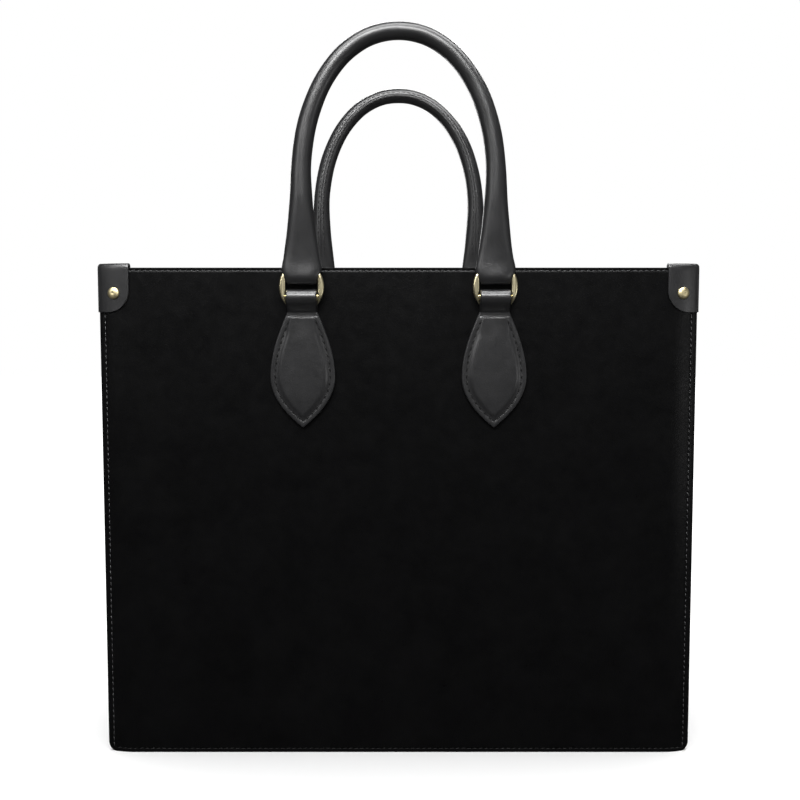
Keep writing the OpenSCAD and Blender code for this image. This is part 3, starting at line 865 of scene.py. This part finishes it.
def tab_height(inset, z):
    """How far the tab stands off the panel, at inset from its edge."""
    edge = EDGE_R * (1 - math.sqrt(max(0.0, 1 - (1 - min(1.0, inset / EDGE_R)) ** 2)))
    seam_on = smooth((TAB_NECK_Z - 3 * MM - z) / (3 * MM))
    seam = 0.25 * MM * bell(inset - TAB_SEAM, 0.45 * MM) * seam_on
    start = mix(1.0 * MM, 4.2 * MM, smooth((PAD_TOP_Z - z) / (14 * MM)))
    pad = smooth((inset - start) / (3.0 * MM)) * smooth((PAD_TOP_Z - z) / (1.2 * MM))
    crown = 0.5 * MM * smooth((inset - start) / (14 * MM)) * smooth((PAD_TOP_Z - z) / (20 * MM))
    return TAB_T - edge - seam + (PAD_RISE - 0.5 * MM) * pad + crown


def tab_point(x_sign, inset, z):
    """Point on the tab's face, on the left or right half by x_sign."""
    return Vector((x_sign * max(0.0, inset_width(z, inset)), FACE_Y - tab_height(inset, z), z))


def tab_half_rows(sign, flat):
    """Rows from the neck to the tip, each running from the edge to the spine of one half of the tab."""
    rows = []
    length = TAB_NECK_Z - TAB_TIP
    near_neck = mm(0, 0.7, 1.4, 2.1, 2.7, 2.9, 3.1, 3.3, 3.5, 3.7, 3.95, 4.3, 4.8, 5.5)
    shares = [down / length for down in near_neck]
    for share in shares + [mix(6.3 * MM / length, 1, t**0.93) for t in steps(0, 1, 44)]:
        row = []
        for inset in TAB_INSETS:
            z = mix(TAB_NECK_Z, inset_tip(inset), share)
            p = tab_point(sign, inset, z)
            row.append(Vector((p.x, FACE_Y, p.z)) if flat else p)
        last = row[-1]
        for part in SPINE_SHARES:
            inside = TAB_INSETS[-1] + abs(last.x) * part
            y = FACE_Y if flat else FACE_Y - tab_height(inside, last.z)
            row.append(Vector((last.x * (1 - part), y, last.z)))
        rows.append(row)
    return rows


def neck_path():
    """Side view of the strap: up its front, over the ring's bar and down its back to the panel."""
    bar = (RING_Y, LOW_BAR)
    start = (FACE_Y - TAB_T, TAB_NECK_Z)
    end = (FACE_Y - 0.1 * MM, TAB_NECK_Z + 3 * MM)

    def touch(p, turn):
        dy, dz = bar[0] - p[0], bar[1] - p[1]
        d = math.hypot(dy, dz)
        angle = math.atan2(dz, dy) + turn * math.asin(TAB_LOOP_R / d)
        reach = math.sqrt(d * d - TAB_LOOP_R**2)
        return p[0] + reach * math.cos(angle), p[1] + reach * math.sin(angle)

    front, back = touch(start, 1), touch(end, -1)
    first = math.atan2(front[1] - bar[1], front[0] - bar[0])
    last = math.atan2(back[1] - bar[1], back[0] - bar[0])
    if first < 0:
        first += 2 * math.pi
    path = [(mix(start[0], front[0], i / 5), mix(start[1], front[1], i / 5)) for i in range(5)]
    for a in steps(first, last, 22):
        path.append((bar[0] + TAB_LOOP_R * math.cos(a), bar[1] + TAB_LOOP_R * math.sin(a)))
    path += [(mix(back[0], end[0], i / 4), mix(back[1], end[1], i / 4)) for i in range(1, 5)]
    return path + [(FACE_Y, TAB_NECK_Z)]


def make_tab(place, flip):
    """The teardrop with its padded middle, and the strap that folds round the ring's lower bar."""
    shape = Shape()
    raised = {sign: tab_half_rows(sign, False) for sign in (1, -1)}
    backed = {sign: tab_half_rows(sign, True) for sign in (1, -1)}
    for sign in (1, -1):
        shape.grid(raised[sign])
        shape.grid(backed[sign])
        shape.grid([[a[0], b[0]] for a, b in zip(raised[sign], backed[sign])])
    neck = raised[-1][0] + raised[1][0][-2::-1]
    columns = [p.x for p in neck]
    thinner = [p.y - (FACE_Y - TAB_T) for p in neck]
    path = neck_path()
    rows = []
    for (y0, z0), (y, z), (y1, z1) in zip(path[:1] + path, path, path[1:]):
        size = math.dist((y0, z0), (y1, z1))
        ny, nz = (z0 - z1) / size, (y1 - y0) / size
        rows.append([(x, y - ny * d, z - nz * d) for x, d in zip(columns, thinner)])
    rows.append([(x, FACE_Y, TAB_NECK_Z) for x in columns])
    shape.grid(rows)
    bores = []
    for column in (0, -1):
        rim = [row[column] for row in rows]
        bore = []
        for x, y, z in rim:
            a = math.atan2(z - LOW_BAR, y - RING_Y)
            bore.append((x, RING_Y + BORE_R * math.cos(a), LOW_BAR + BORE_R * math.sin(a)))
        shape.grid([rim + rim[:1], bore + bore[:1]])
        bores.append(bore + bore[:1])
    shape.grid(bores)
    offset = Vector((-LEG_X, 0, 0))
    shape.points = [p + offset for p in shape.points]
    piece = shape.build(f"{place}_tab_leather", "bag", CHARCOAL, [f"{place}_tab"], flip)

    heights = steps(PAD_TOP_Z - 2 * MM, inset_tip(TAB_SEAM), 60)[:-1]
    out = Vector((0, -1, 0))
    routes = []
    for sign, zs in ((-1, heights), (1, heights[::-1])):
        routes.append([(tab_point(sign, TAB_SEAM, z) + offset, out) for z in zs])
    stitching(f"{place}_tab", routes, TAB_STITCH, flip)


# ---- Rings ----

RING_LOW, RING_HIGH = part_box("front_left_ring")
RING_Z = (RING_LOW[2] + RING_HIGH[2]) / 2
CRESCENT_HALF = (RING_HIGH[2] - RING_LOW[2]) / 2
RING_HALF = (RING_HIGH[0] - RING_LOW[0]) / 2
WINDOW_HALF = 10.5 * MM
BAR_R = 2.0 * MM
CRESCENT_DEPTH = 1.8 * MM


def make_ring(place, flip):
    """Two crescent cheeks with a soft lens section, joined by two round bars."""
    bulge = RING_HALF - WINDOW_HALF
    arc_r = (CRESCENT_HALF**2 + bulge**2) / (2 * bulge)
    shape = Shape()
    for side in (1, -1):
        rings = []
        for t in steps(-1, 1, 34):
            z = CRESCENT_HALF * math.sin(t * math.pi / 2) * 0.995
            outer = RING_HALF - arc_r + math.sqrt(arc_r**2 - z * z)
            half = max(0.15 * MM, (outer - WINDOW_HALF) / 2)
            middle = WINDOW_HALF + half
            depth = CRESCENT_DEPTH * min(1.0, (half / (1.6 * MM)) ** 0.5)
            rings.append([(side * (middle + half * c) - LEG_X, RING_Y + depth * s, RING_Z + z)
                          for c, s in oval(20, 0.8, 0.75)])
        shape.tube(rings)
    for z in (LOW_BAR, HIGH_BAR):
        along = Matrix.Translation((-LEG_X, RING_Y, z)) @ Matrix.Rotation(math.pi / 2, 4, "Y")
        reach = WINDOW_HALF + 1 * MM
        shape.tube(turned([(BAR_R, -reach), (BAR_R, 0), (BAR_R, reach)], 28, along))
    shape.build(f"{place}_ring_metal", f"{place}_ring", GOLD, [f"{place}_ring"], flip)


# ---- Handles ----

BOOT_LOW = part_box("front_left_handle_loop")[0][2]
END_HALF = 12.7 * MM
BOOT_HALF = 13.7 * MM
FOLD_HALF = 8.8 * MM
LEG_HALF = 6.5 * MM
FOLD_DEPTH = 4.6 * MM
END_DEPTH = 3.8 * MM
LEG_DEPTH = 6.0 * MM
TOP_HALF = 5.7 * MM
FLARE = 75 * MM
# Where a handle's straight legs end and its arch begins.
SPRING_Z = TOP + 55 * MM
# Degrees round the roll from its seam to each row of stitches.
SEAM_GAP = 17
# 2 would make the arch half an ellipse.
ARCH_POWER = 2.1


def roll_size(z):
    """Half width in the plane of the arch and half depth across it, at the height z on a leg or the arch."""
    up = z - TOP
    if up > FLARE:
        t = (up - FLARE) / (HANDLE_TOP - TOP - FLARE)
        return mix(LEG_HALF, TOP_HALF, t), mix(LEG_DEPTH, TOP_HALF, t)
    above = max(0.0, up)
    width = LEG_HALF + (END_HALF - LEG_HALF) * (1 - above / FLARE) ** 1.9
    depth = mix(END_DEPTH, LEG_DEPTH, smooth(above / (48 * MM)))
    if up < 4 * MM:
        depth = mix(FOLD_DEPTH, depth, smooth((up + 8 * MM) / (12 * MM)))
    if up < 7 * MM:
        share = max(0.0, (z - BOOT_LOW) / (TOP - BOOT_LOW))
        boot = FOLD_HALF + (BOOT_HALF - FOLD_HALF) * math.sin(min(1.0, share) * math.pi / 2) ** 0.8
        width = mix(width, boot, smooth((7 * MM - up) / (14 * MM)))
        depth *= math.sqrt(1 - max(0.0, 1 - (z - BOOT_LOW) / (5.4 * MM)) ** 2)
    return width, max(depth, 0.2 * MM)


def handle_line():
    """Centreline of the roll in X and Z, from the bottom of the left fold to that of the right one."""
    fold = [BOOT_LOW + up for up in mm(0.02, 0.15, 0.45, 1.0, 1.9, 3.1, 4.6, 6.4, 8.6, 11)]
    leg = fold + steps(TOP + 2 * MM, SPRING_Z, 14)[:-1]
    rise = HANDLE_TOP - TOP_HALF - SPRING_Z
    power = 2 / ARCH_POWER
    arch = []
    for a in steps(math.pi, 0, 72):
        x = LEG_X * signed_power(math.cos(a), power)
        arch.append((x, SPRING_Z + rise * max(0.0, math.sin(a)) ** power))
    return [(-LEG_X, z) for z in leg] + arch + [(LEG_X, z) for z in reversed(leg)]


def roll_angles():
    """Angles round the roll, closer together at the seam, which is at 90 degrees, facing the bag."""
    near_seam = [90 + d for d in (-24, -SEAM_GAP, -12, -8, -5, -3, -1.5, 0, 1.5, 3, 5, 8, 12, SEAM_GAP, 24)]
    return sorted(near_seam + [a for a in range(0, 360, 9) if abs(a - 90) > 26])


def roll_point(line_at, i, angle, lift=0.0):
    """Point on the roll's surface at station i of its centreline, and the direction out of the surface."""
    x, z = line_at[i]
    x0, z0 = line_at[max(0, i - 1)]
    x1, z1 = line_at[min(len(line_at) - 1, i + 1)]
    size = math.hypot(x1 - x0, z1 - z0)
    tx, tz = (x1 - x0) / size, (z1 - z0) / size
    width, depth = roll_size(z)
    seam_on = smooth((z - TOP - 6 * MM) / (16 * MM))
    off = abs(angle - 90)
    groove = (0.5 * MM * bell(off, 2.6) - 0.14 * MM * bell(off - 7, 3)) * seam_on
    wobble = 1 + 0.006 * math.sin(i * 0.9 + angle * 0.05) + 0.006 * math.sin(i * 0.37 - angle * 0.03 + 2)
    a = math.radians(angle)
    across = width * math.cos(a) * wobble
    deep = depth * math.sin(a) * wobble - math.copysign(groove, math.sin(a)) * (off < 60)
    normal = Vector((tz * math.cos(a) / width, math.sin(a) / depth, -tx * math.cos(a) / width)).normalized()
    point = Vector((x + tz * across, RING_Y + deep, z - tx * across))
    return point + normal * lift, normal


def make_handle(end, flip):
    """The rolled sleeve with its folded ends, as one closed skin, and the seam on its inner side."""
    stations = handle_line()
    angles = roll_angles()
    shape = Shape()
    shape.tube([[roll_point(stations, i, a)[0] for a in angles] for i in range(len(stations))])
    nodes = [f"{end}_handle", f"{end}_left_handle_loop", f"{end}_right_handle_loop"]
    shape.build(f"{end}_handle_leather", f"{end}_handle", CHARCOAL, nodes, flip)

    inside = [i for i, (_, z) in enumerate(stations) if z > TOP + 18 * MM]
    routes = []
    for angle in (90 - SEAM_GAP, 90 + SEAM_GAP):
        routes.append([roll_point(stations, i, angle, 0.05 * MM) for i in inside])
    stitching(f"{end}_handle", routes, HANDLE_STITCH, flip, body=f"{end}_handle")


# ---- Magnetic snap ----


def make_snap():
    """Socket on the front facing and stud on the back one, each turned with a stepped rim."""
    socket_low, socket_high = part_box("snap_socket")
    z = (socket_low[2] + socket_high[2]) / 2
    r = (socket_high[0] - socket_low[0]) / 2
    t = socket_high[1] - socket_low[1]
    hole = 3.4 * MM
    socket = [(AXIS_R, 0), (r * 0.96, 0), (r, 0.3 * MM), (r, t * 0.35), (r * 0.97, t * 0.5),
              (r * 0.9, t * 0.55), (r * 0.87, t * 0.7), (r * 0.84, t * 0.93), (r * 0.8, t), (r * 0.5, t),
              (hole * 1.12, t), (hole, t * 0.93), (hole, t * 0.2), (hole * 0.9, t * 0.12), (AXIS_R, t * 0.12)]
    stud_low, stud_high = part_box("snap_stud")
    t = stud_high[1] - stud_low[1]
    nib = 3.1 * MM
    stud = [(AXIS_R, 0), (r * 0.96, 0), (r, 0.25 * MM), (r, 0.8 * MM), (r * 0.93, 1.3 * MM),
            (r * 0.6, 1.4 * MM), (nib * 1.1, 1.4 * MM), (nib, 1.55 * MM), (nib, t * 0.86),
            (nib * 0.85, t * 0.98), (AXIS_R, t)]
    halves = (("snap_socket", socket, socket_low[1], -1), ("snap_stud", stud, stud_high[1], 1))
    for node, profile, y, turn in halves:
        into_bag = Matrix.Translation((0, y, z)) @ Matrix.Rotation(turn * math.pi / 2, 4, "X")
        shape = Shape()
        shape.tube(turned(profile, 56, into_bag))
        piece = shape.build(f"{node}_metal", "bag", GOLD, [node])
        round_edges(piece, 0.12 * MM, angle=35)


# ---- Slip pocket ----

SLIP_LOW, SLIP_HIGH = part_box("slip_pocket")


def slip_face(x, z):
    """The pocket's cloth: sewn flat to the lining at its sides and bottom, and full between."""
    half = SLIP_HIGH[0]
    side = min(1.0, abs(x) / half)
    full_x = smooth((1 - side) / 0.16)
    full_z = smooth((z - SLIP_LOW[2]) / (24 * MM))
    top = smooth((z - SLIP_LOW[2]) / (SLIP_HIGH[2] - SLIP_LOW[2]))
    depth = (SLIP_HIGH[1] - SLIP_LOW[1] - LINING_T) * full_x * full_z * mix(0.75, 1.0, top)
    pucker = 0.3 * MM * math.sin(x * 130 + 2 * math.sin(z * 60)) * full_x * (1 - 0.7 * top)
    return Vector((x, -LINING_IN + LINING_T / 2 + 0.1 * MM + depth + pucker, z))


def make_slip_pocket():
    """Cloth sewn to the front lining round three sides, with leather bound over its open edge."""
    half = SLIP_HIGH[0]
    xs = graded(-half, half, mm(0, 1.5, 3, 5, 7, 9, 11, 13), 6 * MM)
    zs = steps(SLIP_LOW[2], SLIP_HIGH[2], 24)
    shape = Shape()
    shape.grid([[slip_face(x, z) for x in xs] for z in zs])
    piece = shape.sheet("slip_pocket_cloth", TWILL, "slip_pocket", LINING_T, 0.15 * MM)

    binding = Shape()
    top = SLIP_HIGH[2] + 0.2 * MM
    inner = ((9, 0.75), (5, 0.8), (1, 0.8), (0.2, 0.65))
    rows = []
    for drop, off in (*inner, (0, 0), *((drop, -off) for drop, off in reversed(inner))):
        z = top - drop * MM
        cloth_at = [slip_face(x, min(z, SLIP_HIGH[2])) for x in xs]
        rows.append([(p.x, p.y + off * MM, z) for p in cloth_at])
    binding.grid(rows)
    binding.sheet("slip_pocket_binding_leather", BLACK, "slip_pocket_binding",
                  0.5 * MM, 0.15 * MM, rim=BLACK_EDGE, closed=True)

    inset = 2.2 * MM
    low, high, side = SLIP_LOW[2] + inset, SLIP_HIGH[2] - 1 * MM, half - inset
    corners = ((-side, high), (-side, low), (side, low), (side, high))
    flats = [flat for start, end in zip(corners, corners[1:]) for flat in line(start, end)]
    out = Vector((0, 1, 0))
    sides = [(slip_face(x, z) + out * LINING_T / 2, out) for x, z in flats]
    edge_z = high - 6 * MM
    edge = [(slip_face(x, edge_z) + out * 1.05 * MM, out) for x, _ in line((-side, 0), (side, 0))]
    stitching("slip_pocket", (sides, edge), FINE_STITCH)


# ---- Zip pocket ----

# Out of the back lining.
INTO_BAG = Vector((0, -1, 0))
TOOTH_PITCH = 1.9 * MM


def frame_loop(inset, radius, y):
    """Points round a rounded rectangle that lies inset inside the welt's outline."""
    half_x, half_z = WELT_HALF_X - inset, WELT_HALF_Z - inset
    loop = []
    for cx, cz, first in ((1, 1, 0), (-1, 1, 90), (-1, -1, 180), (1, -1, 270)):
        for a in steps(first, first + 90, 5):
            turn = math.radians(a)
            x = cx * (half_x - radius) + radius * math.cos(turn)
            loop.append(Vector((x, y, ZIP_Z + cz * (half_z - radius) + radius * math.sin(turn))))
    return loop


def make_welt():
    """The leather frame round the zip, with a shallow groove for its row of stitches."""
    near, far = WELT_LOW[1], WELT_HIGH[1]
    depth = (far - near) / MM
    # How far inside the welt's edge each loop runs, its corner radius, and its depth behind the face.
    section = ((0, 3, depth), (0, 3, 0.35), (0.4, 2.7, 0), (3.2, 2.4, 0.15), (6, 2.2, 0), (6.7, 2, 0.1),
               (7, 1.8, 0.5), (7, 1.8, depth))
    rings = [frame_loop(*mm(inset, r), near + behind * MM) for inset, r, behind in section]
    welt = Shape()
    welt.grid(rings + rings[:1], wrap=True)
    welt.build("zip_welt_leather", "bag", BLACK, ["zip_welt"])
    loop = frame_loop(2.6 * MM, 2.4 * MM, near + 0.1 * MM)
    stitching("zip_welt", [[(p, INTO_BAG) for p in loop + loop[:1]]], FINE_STITCH)


def make_tape():
    """The zip's cloth, with a ridge along each side of the chain."""
    low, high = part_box("zip_tape")
    y = (low[1] + high[1]) / 2
    tape = Shape()
    rows = []
    for z in steps(low[2], high[2], 16):
        ridge = 0.12 * MM * bell(abs(z - ZIP_Z) - 3.4 * MM, 0.8 * MM)
        rows.append([(x, y - ridge, z) for x in steps(low[0], high[0], 60)])
    tape.grid(rows)
    piece = tape.sheet("zip_tape_cloth", TAPE, "zip_tape", high[1] - low[1], 0.1 * MM)


def make_teeth():
    """Two rows of teeth that mesh along the whole chain."""
    y0, y1 = ZIP_LOW[1] + 0.1 * MM, ZIP_HIGH[1]
    reach = (ZIP_HIGH[2] - ZIP_LOW[2]) / 2
    half = ((0.42, -1.0), (0.42, 0.1), (0.62, 0.28), (0.3, 0.44))
    outline = (*half, *((-u, v) for u, v in reversed(half)))
    count = int((ZIP_HIGH[0] - ZIP_LOW[0]) / TOOTH_PITCH) - 1
    shape = Shape()
    for row in (1, -1):
        for i in range(count):
            x0 = ZIP_LOW[0] + (i + 0.8 + 0.25 * row) * TOOTH_PITCH
            ring = [(x0 + u * MM, ZIP_Z - row * v * reach) for u, v in outline]
            if row < 0:
                ring.reverse()
            chamfer = [(mix(x, x0, 0.22), mix(z, ZIP_Z + row * 0.2 * reach, 0.12)) for x, z in ring]
            layers = ((y1, ring), (y0 + 0.3 * MM, ring), (y0, chamfer))
            shape.tube([[(x, y, z) for x, z in loop] for y, loop in layers])
    shape.build("zip_teeth", "bag", GOLD, ["zip_chain"])


def make_pouch():
    """The pocket behind the zip: one cloth folded at the bottom, its two layers a little apart."""
    low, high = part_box("zip_pouch")
    y = (low[1] + high[1]) / 2
    gap = 0.13 * MM
    side = [(gap, z) for z in steps(high[2], low[2] + gap, 20)]
    side += [(gap * math.cos(a), low[2] + gap * (1 - math.sin(a))) for a in steps(0, math.pi, 6)[1:-1]]
    side += [(-gap, z) for z in steps(low[2] + gap, high[2], 20)]
    shape = Shape()
    rows = []
    for off, z in side:
        wave = 0.06 * MM * math.sin((high[2] - z) / (high[2] - low[2]) * 9)
        rows.append([(x, y + off + wave * math.cos(x * 40), z) for x in steps(low[0], high[0], 26)])
    shape.grid(rows)
    piece = shape.sheet("zip_pouch_cloth", TWILL, "zip_pouch", 0.22 * MM, 0.05 * MM)


def outline_slab(shape, outline, y0, y1, edge):
    """A slab with a rounded rim, from y0 to y1, with the outline given as (x, z) round its middle."""
    cx = sum(p[0] for p in outline) / len(outline)
    cz = sum(p[1] for p in outline) / len(outline)

    def ring(y, inset):
        out = []
        for x, z in outline:
            k = 1 - inset / math.hypot(x - cx, z - cz)
            out.append((cx + (x - cx) * k, y, cz + (z - cz) * k))
        return out

    shape.tube([ring(y0, edge), ring(y0 + 0.3 * edge, 0.3 * edge), ring(y0 + edge, 0), ring(y1 - edge, 0),
                ring(y1 - 0.3 * edge, 0.3 * edge), ring(y1, edge)])


PIN = JOINT_AT["zip_pull_swing"]
UPRIGHT_PIN = Matrix.Translation((PIN[0], PIN[1], ZIP_Z))


def make_slider():
    """The slider: a waisted shield with two side walls, and two posts that hold the pull's pin."""
    low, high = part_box("zip_slider")
    half_x = (high[0] - low[0]) / 2
    half_z = (high[2] - low[2]) / 2
    face = ZIP_LOW[1] - 0.35 * MM
    cover = 1.3 * MM
    shield = []
    for c, s in oval(40, 0.55, 0.5):
        waist = 1 - 0.16 * bell(half_x * (c + 0.25), half_x * 0.5)
        shield.append((PIN[0] + half_x * c, ZIP_Z + half_z * s * waist))
    shape = Shape()
    outline_slab(shape, shield, face - cover, face, 0.3 * MM)
    for s in (-1, 1):
        z0, z1 = sorted((ZIP_Z + s * (half_z - 1.1 * MM), ZIP_Z + s * (half_z - 0.15 * MM)))
        wall_x = half_x * 0.85
        shape.block((PIN[0] - wall_x, face - 0.4 * MM, z0), (PIN[0] + wall_x, high[1] - 0.2 * MM, z1))
        post = [(PIN[0] + x * MM, ZIP_Z + (s * 2.3 + z) * MM)
                for x, z in ((-1.5, -0.5), (1.5, -0.5), (1.5, 0.5), (-1.5, 0.5))]
        crown = [(mix(x, PIN[0], 0.45), z) for x, z in post]
        layers = ((face - cover + 0.2 * MM, post), (PIN[1] + 0.2 * MM, post), (PIN[1] - 0.9 * MM, crown))
        shape.tube([[(x, y, z) for x, z in loop] for y, loop in layers])
    shape.tube(turned([(0.9 * MM, -2.8 * MM), (0.9 * MM, 2.8 * MM)], 24, UPRIGHT_PIN))
    piece = shape.build("zip_slider_metal", "zip_slider", GOLD, ["zip_slider"])
    round_edges(piece, 0.12 * MM, angle=40)


def make_pull():
    """The pull: an eye round the slider's pin, a waist and a long tongue with a sunk panel."""
    low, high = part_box("zip_pull")
    shape = Shape()
    eye_r, bore, tall = 1.8 * MM, 1.15 * MM, 1.5 * MM
    eye = [(bore, -tall), (eye_r * 0.9, -tall), (eye_r, -tall * 0.85)]
    eye += [(r, -h) for r, h in reversed(eye)]
    shape.grid(turned(eye + eye[:1], 28, UPRIGHT_PIN), wrap=True)
    waist_y, waist_z = 0.72 * MM, 1.3 * MM
    shape.block((PIN[0] - 7 * MM, PIN[1] - waist_y, ZIP_Z - waist_z),
                (PIN[0] - bore - 0.3 * MM, PIN[1] + waist_y, ZIP_Z + waist_z))
    tongue_end = PIN[0] - 6 * MM
    centre_x = (low[0] + tongue_end) / 2
    half_x = (tongue_end - low[0]) / 2
    half_z = (high[2] - low[2]) / 2

    def tongue(y, inset):
        ring = []
        for c, s in oval(48, 0.45, 0.6):
            x = (half_x - inset) * c
            narrow = mix(0.78, 1.0, (half_x - x) / (2 * half_x))
            ring.append((centre_x + x, y, ZIP_Z + (half_z * narrow - inset) * s))
        return ring

    # Height of each loop of the tongue's front side, and how far it lies inside the outline.
    front = ((-0.55, 1.5), (-0.55, 1.15), (-0.8, 0.95), (-0.8, 0.3), (-0.5, 0.0))
    section = (*front, *((-y, inset) for y, inset in reversed(front)))
    shape.tube([tongue(PIN[1] + y * MM, inset * MM) for y, inset in section])
    piece = shape.build("zip_pull_metal", "zip_pull", GOLD, ["zip_pull"])
    round_edges(piece, 0.1 * MM, angle=45)


# ---- Everything ----

for end, along in ENDS.items():
    make_panel(end, (1, along))
    make_facing(end, (1, along))
    make_handle(end, (1, along))
    for side, across in SIDES.items():
        place = f"{end}_{side}"
        make_patch(place, (across, along))
        make_stud(place, (across, along))
        make_tab(place, (across, along))
        make_ring(place, (across, along))
for side, across in SIDES.items():
    make_gusset(side, (across, 1))
make_base()
make_lining()
make_snap()
make_slip_pocket()
make_welt()
make_tape()
make_teeth()
make_pouch()
make_slider()
make_pull()

# CAD nodes that stay as they are get their real materials.
KEPT = {
    "base_board": BOARD, "front_stiffener": BOARD, "back_stiffener": BOARD,
    "front_handle_core": COTTON, "back_handle_core": COTTON,
    "snap_socket_washer": STEEL, "snap_stud_washer": STEEL, "zip_end_stops": GOLD,
}
for name in frame["nodes"]:
    if name.endswith("_stud_back"):
        KEPT[name] = GOLD
for name, material in KEPT.items():
    slots = frame["nodes"][name].data.materials
    slots.clear()
    slots.append(material)


# ---- Floor, light and camera ----


def soft_box(name, place, target, size, power, unlit):
    """A rectangular light aimed at target, which leaves the objects in the collection unlit alone."""
    data = bpy.data.lights.new(name, "AREA")
    data.shape = "RECTANGLE"
    data.size, data.size_y = size
    data.energy = power
    light = new_object(name, data)
    light.location = place
    light.rotation_euler = (Vector(target) - Vector(place)).to_track_quat("-Z", "Y").to_euler()
    light.light_linking.receiver_collection = unlit


def sky_light(strength, spread):
    """A very soft light from straight above, which whitens the floor and isn't mirrored in the leather."""
    data = bpy.data.lights.new("sky", "SUN")
    data.energy = strength
    data.angle = math.radians(spread)
    new_object("sky", data).visible_glossy = False


def make_floor():
    half = 6.0
    mesh = bpy.data.meshes.new("floor")
    corners = [(-half, -half, 0), (half, -half, 0), (half, half, 0), (-half, half, 0)]
    mesh.from_pydata(corners, [], [(0, 1, 2, 3)])
    floor = new_object("floor", mesh)
    n = Nodes("pale_floor")
    n.link(n.ramp(n.noise(3, 2), (0.90, 0.90, 0.90), (0.93, 0.93, 0.93)), "Base Color")
    n.set(Roughness=0.9, Specular_IOR_Level=0.1)
    mesh.materials.append(n.material)
    floor.visible_glossy = False
    return floor


def named(*endings):
    """The pieces whose names end in one of these ways."""
    return [piece for piece in bpy.data.objects if piece.name.endswith(endings)]


def left_out(name, pieces):
    """Collection of objects that a light linked to it doesn't reach."""
    group = bpy.data.collections.new(name)
    for piece in pieces:
        group.objects.link(piece)
    for entry in group.collection_objects:
        entry.light_linking.link_state = "EXCLUDE"
    return group


def make_world():
    """White to the camera; to the object a dim room, so that black leather keeps its depth."""
    world = bpy.data.worlds.new("studio")
    bpy.context.scene.world = world
    world.use_nodes = True
    tree = world.node_tree
    tree.nodes.clear()
    path = tree.nodes.new("ShaderNodeLightPath")
    choose = tree.nodes.new("ShaderNodeMixShader")
    tree.links.new(path.outputs["Is Camera Ray"], choose.inputs["Fac"])
    for place, strength in ((1, 0.05), (2, 1.0)):
        white = tree.nodes.new("ShaderNodeBackground")
        white.inputs["Color"].default_value = (1, 1, 1, 1)
        white.inputs["Strength"].default_value = strength
        tree.links.new(white.outputs["Background"], choose.inputs[place])
    out = tree.nodes.new("ShaderNodeOutputWorld")
    tree.links.new(choose.outputs["Shader"], out.inputs["Surface"])


def make_camera():
    """About 62 cm in front of the bag, a little over half its full height, tilted down by a few degrees."""
    away, height, tilt = 0.6224, 0.2857, 3.87
    data = bpy.data.cameras.new("camera")
    data.sensor_width = 36
    data.lens = 41.73
    data.shift_x = 0.0019
    camera = new_object("camera", data)
    camera.location = (0, FACE_Y - away, height)
    camera.rotation_euler = (math.radians(90 - tilt), 0, 0)
    bpy.context.scene.camera = camera


floor = make_floor()
not_floor = left_out("not_floor", [floor])
fronts = named("_panel_leather", "_handle_leather", "_patch_leather", "_tab_leather", "_ring_metal",
               "_stud_metal")
only_gussets = left_out("only_gussets", [floor] + fronts)
make_world()
make_camera()
sky_light(5.2, 60)
for name, place, target, size, power in (
    ("key_box", (-0.1, -1.0, 1.1), (0, -0.08, 0.3), (0.9, 0.3), 25),
    ("top_box", (0.05, -0.3, 1.3), (0, -0.08, 0.3), (1.7, 0.3), 20),
    ("left_box", (-0.85, -0.9, 0.8), (0, -0.08, 0.35), (0.35, 0.6), 2.6),
    ("fill_box", (0.1, -1.15, 0.75), (0, -0.08, 0.3), (1.0, 0.7), 0.5),
    ("right_box", (1.1, -0.95, 0.2), (0.19, -0.08, 0.3), (0.3, 0.25), 1.2),
    ("back_key_box", (0.15, 1.0, 1.1), (0, 0.08, 0.3), (0.9, 0.3), 10),
    ("back_box", (-0.6, 1.2, 0.45), (0, 0.08, 0.2), (0.6, 0.6), 5),
):
    soft_box(name, place, target, size, power, not_floor)
for across in (1, -1):
    soft_box("side_box", (across * 1.4, 0.25, 0.2), (across * 0.2, 0, 0.15), (0.9, 0.35), 16, only_gussets)
    for along in (1, -1):
        soft_box("corner_box", (across * 1.6, along * 0.55, 0.3), (0, 0, 0.2), (0.6, 0.5), 7, only_gussets)

bpy.context.scene.view_settings.view_transform = "Standard"
